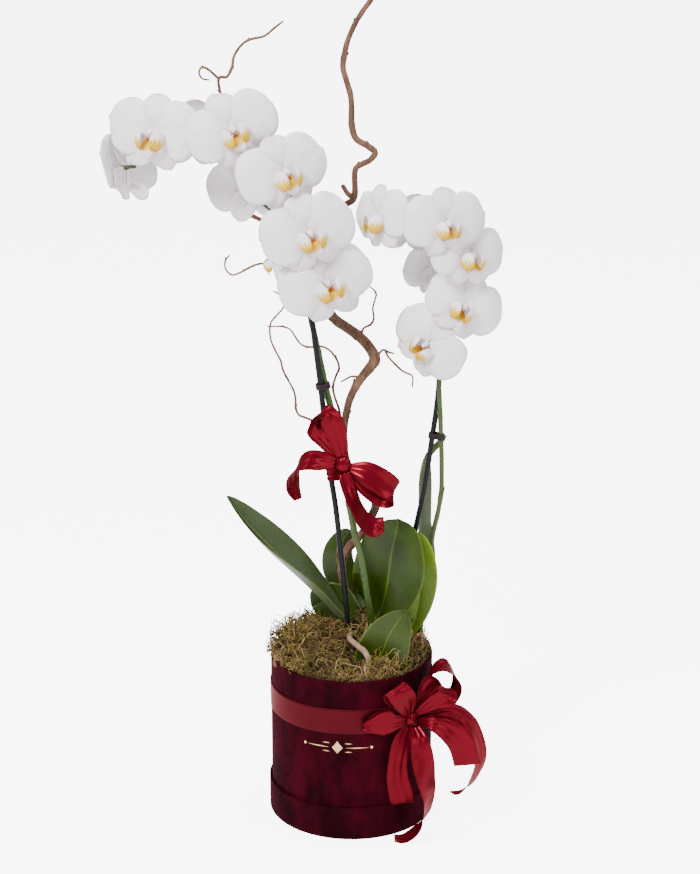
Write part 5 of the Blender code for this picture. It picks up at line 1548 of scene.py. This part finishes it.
@dataclass
class Plants:
    """The two orchids: spikes with pedicels and blossoms, crowns, leaves and roots."""

    bract: float = 0.0075
    thickness: float = 0.0019
    bare_nodes: tuple[float, ...] = (0.075, 0.150, 0.232, 0.305)
    root_growth: float = 1.3

    def leaf_tint(self, name: str) -> Leaf:
        """Choose the finish of a leaf."""
        return LEAF_TINTS.get(name, LEAF_DEEP)

    def leaf(self, name: str, seed: int) -> None:
        """Build a leaf with a sunk midrib, thin edges and a gentle wave.

        Args:
            name: The CAD node that it stands for.
            seed: The seed of its wave.
        """
        points, base, middle, tip, width, fold = LEAVES[name]
        rng = np.random.default_rng(seed)
        path = smooth_path(points, 2.2) * MM
        rows, columns = len(path), 19
        s = np.linspace(0, 1, rows)[:, None]
        base, middle, tip = (np.array(Vector(side).normalized()) for side in (base, middle, tip))
        side = np.where(s < 0.5, base + (middle - base) * 2 * s, middle + (tip - middle) * (2 * s - 1))
        along = unit(np.gradient(path, axis=0))
        side = unit(side - along * np.sum(side * along, axis=1, keepdims=True))
        normal = np.cross(side, along)
        foot, widest, point, wide, deep, front = LEAF_FORMS.get(name, (0.2, 0.55, 0.5, 1.0, 1.0, 1.0))
        width, fold = width * wide, fold * deep
        past = np.clip((s - widest) / (1 - widest), 0, 1)
        rising = foot + (1 - foot) * np.sin(0.5 * math.pi * np.minimum(s, widest) / widest)
        falling = np.maximum(0.03, np.maximum(0.0, 1 - past ** 2.0) ** point)
        share = np.where(s < widest, rising, falling)
        half = share * width / 2 * MM
        v = np.linspace(-1, 1, columns)[None, :]
        half_fold = math.atan2(2 * fold, width)
        angle = np.where(v < 0, half_fold * front, half_fold) * np.clip(np.abs(v) / 0.22, 0, 1)
        gap = 2 / (columns - 1)
        flat = np.cumsum(np.cos(angle)) * gap
        keel = np.cumsum(np.sin(angle) * np.sign(v)) * gap
        flat, keel = (flat - flat[columns // 2])[None, :], half * (keel - keel[columns // 2])[None, :]
        groove = 0.0007 * np.exp(-(v / 0.07) ** 2) * np.minimum(1, 4 * s)
        wave = 0.0011 * v ** 2 * np.sin(9 * s + 2 * v + rng.uniform(0, 6.28)) * share
        lift = keel + wave - np.sign(fold) * groove
        grid = path[:, None] + side[:, None] * (half * flat)[..., None] + normal[:, None] * lift[..., None]
        thick = self.thickness * (1 - 0.72 * np.abs(v) ** 3) * (0.35 + 0.65 * np.minimum(1, 3 * (1 - s)))
        grid = grid + np.array([0, 0, RIM])
        tint = self.leaf_tint(name)
        under = LEAF_UNDER if tint is LEAF_MATT else tint
        blade = as_object(name + "_blade", [slab(grid, thick)], [tint.build(), under.build()])
        quads = (rows - 1) * (columns - 1)
        for polygon in blade.data.polygons[quads:2 * quads]:
            polygon.material_index = 1
        settle(blade, "orchid_leaf", name)

    def bract_at(self, path: np.ndarray, mark: float, turn: float) -> Shape:
        """Wrap a small pointed bract round a stem.

        Args:
            path: The stem, in metres.
            mark: The distance along it where the bract is rooted.
            turn: The side that the bract points to.

        Returns:
            The bract.
        """
        run = run_along(path)
        t = np.linspace(0, 1, 8)
        rows = np.column_stack([np.interp(mark + self.bract * t, run, path[:, c]) for c in range(4)])
        along = unit(np.gradient(rows[:, :3], axis=0))
        side = unit(np.cross(along, (math.cos(turn), math.sin(turn), 0.1)))
        out = np.cross(side, along)
        v = np.linspace(-1, 1, 9)[None, :] * (1.9 * (1 - t ** 1.6) + 0.12)[:, None]
        reach = (rows[:, 3] + 0.00035 + 0.0007 * t ** 2)[:, None]
        grid = rows[:, None, :3] + (reach * np.cos(v))[..., None] * out[:, None]
        grid = grid + (reach * np.sin(v))[..., None] * side[:, None]
        return slab(grid, 0.00035)

    def spike(self, name: str) -> None:
        """Build a flower spike with its pedicels, nodes and bracts, as one piece.

        Args:
            name: The CAD node that it stands for.
        """
        path = raised(smooth_path(SPIKES[name], 3.0))
        run = run_along(path)
        flowers = [(n, b) for n, b in BLOSSOMS.items() if b[0] == name]
        starts = [off_rim(np.array(b[1])) for _, b in flowers]
        marks = [run[np.argmin(np.linalg.norm(path[:, :3] - start, axis=1))] for start in starts]
        marks += self.bare_nodes
        shapes = [sweep(path, 16, node_swell(marks, 0.2))]
        for k, mark in enumerate(marks):
            if mark < run[-1] - 0.012:
                shapes.append(self.bract_at(path, mark, SPIRAL * k))
        for _, (_, start, centre, width, *turn) in flowers:
            front = np.array(facing(*turn).to_3x3() @ Vector((0, 0, 1)))
            start, centre = np.array(start, float), np.array(centre, float)
            end = centre - front * (RECEPTACLE_BACK * width / FLOWER_WIDTH + 0.3)
            before = end - front * 5
            bend = (start + before) / 2 - front * 2
            rows = [(*p, r) for p, r in ((start, 1.35), (bend, 1.45), (before, 1.65), (end, 1.7))]
            shapes.append(sweep(raised(smooth_path(rows, 2.0)), 12, node_swell([0.004], 0.15)))
        settle(as_object(name + "_stem", shapes, [STEM.build()]), "flower_stem", name)

    def crown(self, name: str) -> None:
        """Build a crown of lapped leaf bases.

        Args:
            name: The CAD node that it stands for.
        """
        low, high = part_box(name)
        middle = ((low + high) / 2)[:]

        def sheaths(h: np.ndarray, a: np.ndarray) -> np.ndarray:
            """Fold the crown into upright sheaths."""
            return -0.10 * (1 - np.abs(np.sin(2 * a + 1.5 * h))) ** 2 + 0.02 * np.sin(20 * h)

        radii = ((high[0] - low[0]) / 2, (high[1] - low[1]) / 2, (high[2] - low[2]) / 2)
        body = egg(middle, radii, 0, 16, 32, sheaths)
        settle(as_object(name + "_sheaths", [body], [LEAF_DEEP.build()]), "orchid_crown", name)

    def root(self, name: str) -> None:
        """Build a thick aerial root with a wrinkled skin.

        Args:
            name: The CAD node that it stands for.
        """
        points, radius = ROOTS[name]
        path = raised(smooth_path([(*p, radius * self.root_growth) for p in points], 1.2))

        def ripple(run: np.ndarray, angle: np.ndarray) -> np.ndarray:
            """Wrinkle the root's skin."""
            return 0.05 * np.sin(2 * angle + run * 260) + 0.05 * np.sin(run * 700 + angle)

        settle(as_object(name + "_skin", [sweep(path, 20, ripple)], [ROOT.build()]), "aerial_root", name)

    def build(self) -> None:
        """Build every part of both plants."""
        for name in SPIKES:
            self.spike(name)
        for k, (name, (_, _, centre, width, *turn)) in enumerate(BLOSSOMS.items()):
            Blossom(name, centre, width, facing(*turn), 11 + k).build()
        for k, name in enumerate(LEAVES):
            self.leaf(name, 51 + k)
        for name in CROWNS:
            self.crown(name)
        for name in ROOTS:
            self.root(name)


@dataclass
class Supports:
    """The contorted willow branch with its curly twigs and buds, and the two dark stakes."""

    sides: int = 18
    node_gap: float = 0.031
    stake_radius: float = 2.75

    def stem(self, points: Sequence[Sequence[float]], sides: int, finish: int) -> list[Shape]:
        """Build one woody stem with swollen nodes and a bud at each.

        Args:
            points: Rows of x, y, z and radius in millimetres.
            sides: The number of points round it.
            finish: The number of its finish.

        Returns:
            The stem and its buds.
        """
        path = raised(smooth_path(points, 2.4))
        length = path_length(path)
        marks = list(np.arange(self.node_gap * 0.6, length - 0.006, self.node_gap))
        swell = node_swell(marks, 0.13)

        def ripple(run: np.ndarray, angle: np.ndarray) -> np.ndarray:
            """Add long ridges to the swollen nodes."""
            return (swell(run, angle) + 0.035 * np.sin(5 * angle + run * 60)
                    + 0.03 * np.sin(2 * angle - run * 95))

        shapes = [sweep(path, sides, ripple, finish)]
        run = np.linspace(0, length, len(path))
        for k, mark in enumerate(marks):
            i = min(int(np.searchsorted(run, mark)), len(path) - 2)
            along = unit(path[i + 1, :3] - path[i, :3])
            side = unit(np.cross(along, (math.cos(SPIRAL * k), math.sin(SPIRAL * k), 0.2)))
            radius = path[i, 3]
            size = 0.0007 + 0.22 * radius
            lean = Vector(unit(along + 0.35 * side)).to_track_quat("Z", "Y").to_matrix().to_4x4()
            middle = path[i, :3] + side * (radius + size * 0.25)
            bud = egg((0, 0, 0), (size * 0.75, size * 0.6, size * 1.7), finish, 8, 10)
            shapes.append(moved(bud, Matrix.Translation(middle) @ lean))
        return shapes

    def build(self) -> None:
        """Build the branch and the stakes."""
        shapes = self.stem(BRANCH, self.sides, 0)
        for twig in TWIGS:
            shapes += self.stem(twig, 12, 1)
        branch = as_object("willow_branch", shapes, [WILLOW.build(), WILLOW_TWIG.build()])
        settle(branch, "willow_bark", "contorted_branch")
        for name, points in STAKES.items():
            reach = (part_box(name)[1][2] - RIM) / MM
            rows = smooth_path([(*p, self.stake_radius) for p in points], 4.0)
            rows[:, 2] = np.minimum(rows[:, 2], reach - 1.0)
            pole = sweep(raised(rows), 16)
            settle(as_object(name + "_pole", [pole], [STAKE.build()]), "dark_stake", name)


# ---------------------------------------------------------------- moss


@dataclass(frozen=True)
class Fibre:
    """One kind of moss strand: how many there are and how they lie."""

    name: str
    finish: Finish
    density: float
    length: float
    radius: float
    curl: float
    tilt: float
    seed: int


FIBRES = (
    Fibre("moss_green_strands", MOSS_GREEN, 95000.0, 0.022, 0.00050, 0.046, 0.85, 3),
    Fibre("moss_brown_fibres", MOSS_BROWN, 70000.0, 0.026, 0.00034, 0.050, 0.75, 8),
    Fibre("moss_reddish_twigs", TWIGGY, 12000.0, 0.030, 0.00055, 0.030, 0.45, 15),
)


def strand_tree() -> bpy.types.NodeTree:
    """Build the node tree that grows curly strands out of a bed.

    Returns:
        The tree, with inputs named Density, Length, Radius, Curl, Tilt, Seed and Material.
    """
    tree = bpy.data.node_groups.new("curly_strands", "GeometryNodeTree")
    face = tree.interface
    face.new_socket(name="Geometry", in_out="INPUT", socket_type="NodeSocketGeometry")
    for label in ("Density", "Length", "Radius", "Curl", "Tilt"):
        face.new_socket(name=label, in_out="INPUT", socket_type="NodeSocketFloat")
    face.new_socket(name="Seed", in_out="INPUT", socket_type="NodeSocketInt")
    face.new_socket(name="Material", in_out="INPUT", socket_type="NodeSocketMaterial")
    face.new_socket(name="Geometry", in_out="OUTPUT", socket_type="NodeSocketGeometry")
    g = Graph(tree)
    source = tree.nodes.new("NodeGroupInput").outputs
    out = tree.nodes.new("NodeGroupOutput")

    def chance(kind: str, low: Any, high: Any, shift: int) -> Socket:
        """Give a random value per strand.

        Args:
            kind: The value's type.
            low: Its least value.
            high: Its greatest value.
            shift: What sets this value's draws apart from the others.

        Returns:
            The value's socket.
        """
        seed = g.math("ADD", source["Seed"], float(shift))
        first, at = (0, 0) if kind == "FLOAT_VECTOR" else (2, 1)
        inputs = {first: low, first + 1: high, "Seed": seed}
        return g.node("FunctionNodeRandomValue", inputs, data_type=kind).outputs[at]

    points = g.node("GeometryNodeDistributePointsOnFaces",
                    {"Mesh": source["Geometry"], "Density": source["Density"], "Seed": source["Seed"]})
    line = g.node("GeometryNodeCurvePrimitiveLine", {"Start": (0, 0, 0), "End": (0, 0, 1)})
    line = g.node("GeometryNodeResampleCurve", {"Curve": line.outputs[0], "Count": 12})
    steep = g.math("SUBTRACT", math.pi / 2, source["Tilt"])
    least = g.node("ShaderNodeCombineXYZ", {0: steep, 1: -0.3, 2: -math.pi})
    most = g.node("ShaderNodeCombineXYZ", {0: math.pi / 2 + 0.25, 1: 0.3, 2: math.pi})
    turn = chance("FLOAT_VECTOR", least.outputs[0], most.outputs[0], 1)
    short = g.math("MULTIPLY", source["Length"], 0.45)
    size = chance("FLOAT", short, source["Length"], 2)
    inputs = {"Points": points.outputs[0], "Instance": line.outputs[0], "Rotation": turn, "Scale": size}
    placed = g.node("GeometryNodeInstanceOnPoints", inputs)
    toned = g.node("GeometryNodeStoreNamedAttribute", {"Geometry": placed.outputs[0], "Name": "tone",
                   "Value": chance("FLOAT", 0.0, 1.0, 3)}, data_type="FLOAT", domain="INSTANCE")
    loose = g.node("GeometryNodeRealizeInstances", {0: toned.outputs[0]})
    where = g.node("GeometryNodeInputPosition").outputs[0]
    along = g.node("GeometryNodeSplineParameter").outputs[0]
    swirl = g.node("ShaderNodeTexNoise", {"Vector": where, "Scale": 105.0, "Detail": 1.5})
    centred = g.node("ShaderNodeVectorMath", {0: swirl.outputs["Color"], 1: (0.5, 0.5, 0.47)},
                     operation="SUBTRACT")
    reach = g.math("MULTIPLY", g.math("POWER", along, 0.7), source["Curl"])
    push = g.node("ShaderNodeVectorMath", {0: centred.outputs[0], "Scale": reach}, operation="SCALE")
    bent = g.node("GeometryNodeSetPosition", {"Geometry": loose.outputs[0], "Offset": push.outputs[0]})
    ring = g.node("GeometryNodeCurvePrimitiveCircle", {"Resolution": 3, "Radius": source["Radius"]})
    tube = g.node("GeometryNodeCurveToMesh",
                  {"Curve": bent.outputs[0], "Profile Curve": ring.outputs[0], "Fill Caps": True})
    whole = g.node("GeometryNodeRealizeInstances", {0: tube.outputs[0]})
    dressed = g.node("GeometryNodeSetMaterial",
                     {"Geometry": whole.outputs[0], "Material": source["Material"]})
    tree.links.new(dressed.outputs[0], out.inputs[0])
    return tree


# Patches of the bed before the stems, as their middle and half-size: a dark hollow, where the thick root
# comes out, and a wider clearing in the strands
HOLLOW = ((0.007, -0.024), (0.013, 0.026))
CLEARING = ((0.007, -0.043), (0.019, 0.036))


@dataclass
class Moss:
    """A lumpy bed of moss with loose strands over it and over the box's rim."""

    radius: float = 0.0772
    cells: int = 70
    deep: float = 0.0045

    def height(self, x: np.ndarray, y: np.ndarray) -> np.ndarray:
        """Give the bed's height above the rim.

        Args:
            x: Places to the right of the box's middle.
            y: Places behind the box's middle.

        Returns:
            The height at each place.
        """
        share = np.maximum(0.0, 1 - (x * x + y * y) / 0.0777 ** 2)
        lumps = np.sin(130 * x + 1.3) * np.cos(150 * y - 0.4) + 0.6 * np.sin(240 * (x - y))
        tufts = 0.0011 * np.sin(420 * x + 2 * np.sin(310 * y)) * np.sin(390 * y + 1.7)
        mound = 0.007 * np.exp(-(((x + 0.046) / 0.022) ** 2 + ((y - 0.005) / 0.035) ** 2))
        fade = np.minimum(1.0, 3 * share)
        mound = mound - 0.0075 * self.patch(x, y, *HOLLOW)
        return 0.001 + 0.0165 * share ** 1.5 + (0.0034 * lumps + tufts) * fade + mound

    def patch(self, x: np.ndarray, y: np.ndarray, middle: tuple[float, float],
              half: tuple[float, float]) -> np.ndarray:
        """Give the share of a patch of the bed, 1 well inside it and 0 outside."""
        return np.exp(-(((x - middle[0]) / half[0]) ** 2 + ((y - middle[1]) / half[1]) ** 2) ** 2)

    def bed(self) -> bpy.types.Object:
        """Build the bed as a closed lumpy disc.

        Returns:
            The bed.
        """
        p, q = np.meshgrid(np.linspace(-1, 1, self.cells), np.linspace(-1, 1, self.cells))
        x, y = p * np.sqrt(1 - q ** 2 / 2) * self.radius, q * np.sqrt(1 - p ** 2 / 2) * self.radius
        grid = np.stack([x, y, RIM + self.height(x, y) - self.deep / 2], axis=-1)
        grid = grid - np.array([0, 0, 0.0012])
        bed = as_object("moss_bed", [slab(grid, self.deep)], [MOSS_BED.build()])
        return settle(bed, "dry_moss", "moss")

    def strands(self, bed: bpy.types.Object, tree: bpy.types.NodeTree, fibre: Fibre) -> None:
        """Grow one kind of strand on the bed and keep it as a plain mesh.

        Args:
            bed: The bed.
            tree: The strand tree.
            fibre: The kind of strand.
        """
        field = bed.copy()
        field.data = bed.data.copy()
        bpy.context.scene.collection.objects.link(field)
        self.clear_hollow(field.data)
        grow = field.modifiers.new("grow", "NODES")
        grow.node_group = tree
        values = {"Density": fibre.density, "Length": fibre.length, "Radius": fibre.radius,
                  "Curl": fibre.curl, "Tilt": fibre.tilt, "Seed": fibre.seed,
                  "Material": fibre.finish.build()}
        for item in tree.interface.items_tree:
            if item.in_out == "INPUT" and item.name in values:
                grow[item.identifier] = values[item.name]
        depsgraph = bpy.context.evaluated_depsgraph_get()
        mesh = bpy.data.meshes.new_from_object(field.evaluated_get(depsgraph), depsgraph=depsgraph)
        bpy.data.objects.remove(field)
        self.tuck(mesh)
        mesh.name = fibre.name
        piece = bpy.data.objects.new(fibre.name, mesh)
        bpy.context.scene.collection.objects.link(piece)
        settle(piece, "dry_moss")

    def clear_hollow(self, mesh: bpy.types.Mesh) -> None:
        """Take the faces of the hollow and of the underside away, so that no strand grows there.

        Args:
            mesh: A copy of the bed's mesh.
        """
        bm = bmesh.new()
        bm.from_mesh(mesh)
        bare = [f for f in bm.faces if f.normal.z < 0.2
                or self.patch(*np.array(f.calc_center_median()[:2]), *HOLLOW) > 0.45]
        bmesh.ops.delete(bm, geom=bare, context="FACES")
        bm.to_mesh(mesh)
        bm.free()

    def tuck(self, mesh: bpy.types.Mesh) -> None:
        """Keep strands out of the box's wall, over the rim or inside it, and low in the clearing.

        Args:
            mesh: The strands.
        """
        flat = np.empty(len(mesh.vertices) * 3, dtype=np.float32)
        mesh.vertices.foreach_get("co", flat)
        co = flat.reshape(-1, 3).astype(float)
        out = np.hypot(co[:, 0], co[:, 1])
        low = RIM + 0.0004 + 0.0009 * np.abs(np.sin(co[:, 0] * 900 + co[:, 1] * 700))
        hanging = np.clip((out - BOX_RADIUS - 0.0006) / 0.002, 0, 1) * 0.006
        over = out > BOX_RADIUS - 0.0026
        open_share = self.patch(co[:, 0], co[:, 1], *CLEARING)
        cap = RIM + self.height(co[:, 0], co[:, 1]) + 0.0012 + 0.040 * (1 - open_share)
        co[:, 2] = np.minimum(co[:, 2], cap)
        co[over, 2] = np.maximum(co[over, 2], (low - hanging)[over])
        bearing = np.arctan2(co[:, 1], co[:, 0])
        spill = np.maximum(0.0, np.cos(bearing - math.radians(160))) ** 2
        limit = BOX_RADIUS - 0.0042 + 0.0085 * spill + 0.0012 * np.sin(23 * bearing) * np.sin(7 * bearing)
        excess = np.clip(out - limit, 0, None)
        pull = (out - excess * 0.85) / out
        co[:, :2] *= pull[:, None]
        mesh.vertices.foreach_set("co", co.astype(np.float32).ravel())
        mesh.update()

    def build(self) -> None:
        """Build the bed and every kind of strand."""
        bed = self.bed()
        tree = strand_tree()
        for fibre in FIBRES:
            self.strands(bed, tree, fibre)


# ---------------------------------------------------------------- studio


# Soft lights: where each is, its side and its power
LIGHTS = {
    "key": ((-1.2, -1.6, 2.3), 0.8, 140.0),
    "fill": ((1.9, -1.3, 1.2), 1.2, 26.0),
    "top": ((0.2, 0.3, 2.6), 1.0, 45.0),
}


@dataclass
class Studio:
    """A pale floor, soft lights and the camera."""

    floor: float = 60.0
    eye: tuple[float, float, float] = (-0.0016, -1.76, 0.9144)
    pitch: float = 73.27
    lens: float = 79.0
    world_glow: float = 0.55
    seen_glow: float = 5.8

    def light(self, name: str, place: Sequence[float], size: float, power: float) -> None:
        """Aim a soft square light at the plants.

        Args:
            name: Its name.
            place: Where it is.
            size: Its side.
            power: Its power in watts.
        """
        lamp = bpy.data.lights.new(name, "AREA")
        lamp.shape, lamp.size, lamp.energy = "SQUARE", size, power
        obj = bpy.data.objects.new(name, lamp)
        obj.location = place
        obj.rotation_euler = (Vector((0, 0, 0.35)) - Vector(place)).to_track_quat("-Z", "Y").to_euler()
        bpy.context.scene.collection.objects.link(obj)

    def build(self) -> None:
        """Build the floor, the lights and the camera."""
        side = self.floor / 2
        mesh = bpy.data.meshes.new("floor")
        corners = [(-side, -side, 0), (side, -side, 0), (side, side, 0), (-side, side, 0)]
        mesh.from_pydata(corners, [], [(0, 1, 2, 3)])
        mesh.materials.append(FLOOR.build())
        floor = bpy.data.objects.new("floor", mesh)
        bpy.context.scene.collection.objects.link(floor)
        world = bpy.data.worlds.new("studio")
        world.use_nodes = True
        sky = world.node_tree.nodes["Background"].inputs
        sky["Color"].default_value = (1.0, 1.0, 1.0, 1.0)
        g = Graph(world.node_tree)
        seen = g.node("ShaderNodeLightPath").outputs["Is Camera Ray"]
        inputs = {0: seen, 1: self.seen_glow, 2: self.world_glow}
        strength = g.node("ShaderNodeMath", inputs, operation="MULTIPLY_ADD").outputs[0]
        g.tree.links.new(strength, sky["Strength"])
        bpy.context.scene.world = world
        for name, (place, size, power) in LIGHTS.items():
            self.light(name, place, size, power)
        camera = bpy.data.cameras.new("camera")
        camera.lens, camera.sensor_width = self.lens, 36.0
        view = bpy.data.objects.new("camera", camera)
        view.location = self.eye
        view.rotation_euler = (math.radians(self.pitch), 0.0, 0.0)
        bpy.context.scene.collection.objects.link(view)
        bpy.context.scene.camera = view


def dress_frame() -> None:
    """Give the frame's own nodes that stay in view or inside their finishes."""
    finishes = {"liner": LINER, "orchid_bark": PINE_BARK, "clip_front": CLIP, "clip_back": CLIP}
    for name, finish in finishes.items():
        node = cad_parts[name]
        node.data.materials.clear()
        node.data.materials.append(finish.build())


def main() -> None:
    """Build every part of the scene in order."""
    logging.basicConfig(level=logging.INFO, format="%(message)s")
    build_effects()
    Studio().build()
    dress_frame()
    HatBox().build()
    Moss().build()
    Supports().build()
    Plants().build()
    StemWrap().build()
    quarter = math.pi / 2
    Bow(STEM_BOW, off_rim, "stem_bow_knot", STEM_KNOT, 0.0, 101).build(["stem_bow_knot_satin"])
    box_bow = Bow(BOX_BOW, off_band, "box_bow_knot", BOX_KNOT, BOW_BEARING + quarter, 131)
    box_bow.build(["box_bow_knot_satin", "ribbon_band_satin"])


if __name__ == "__main__":
    main()
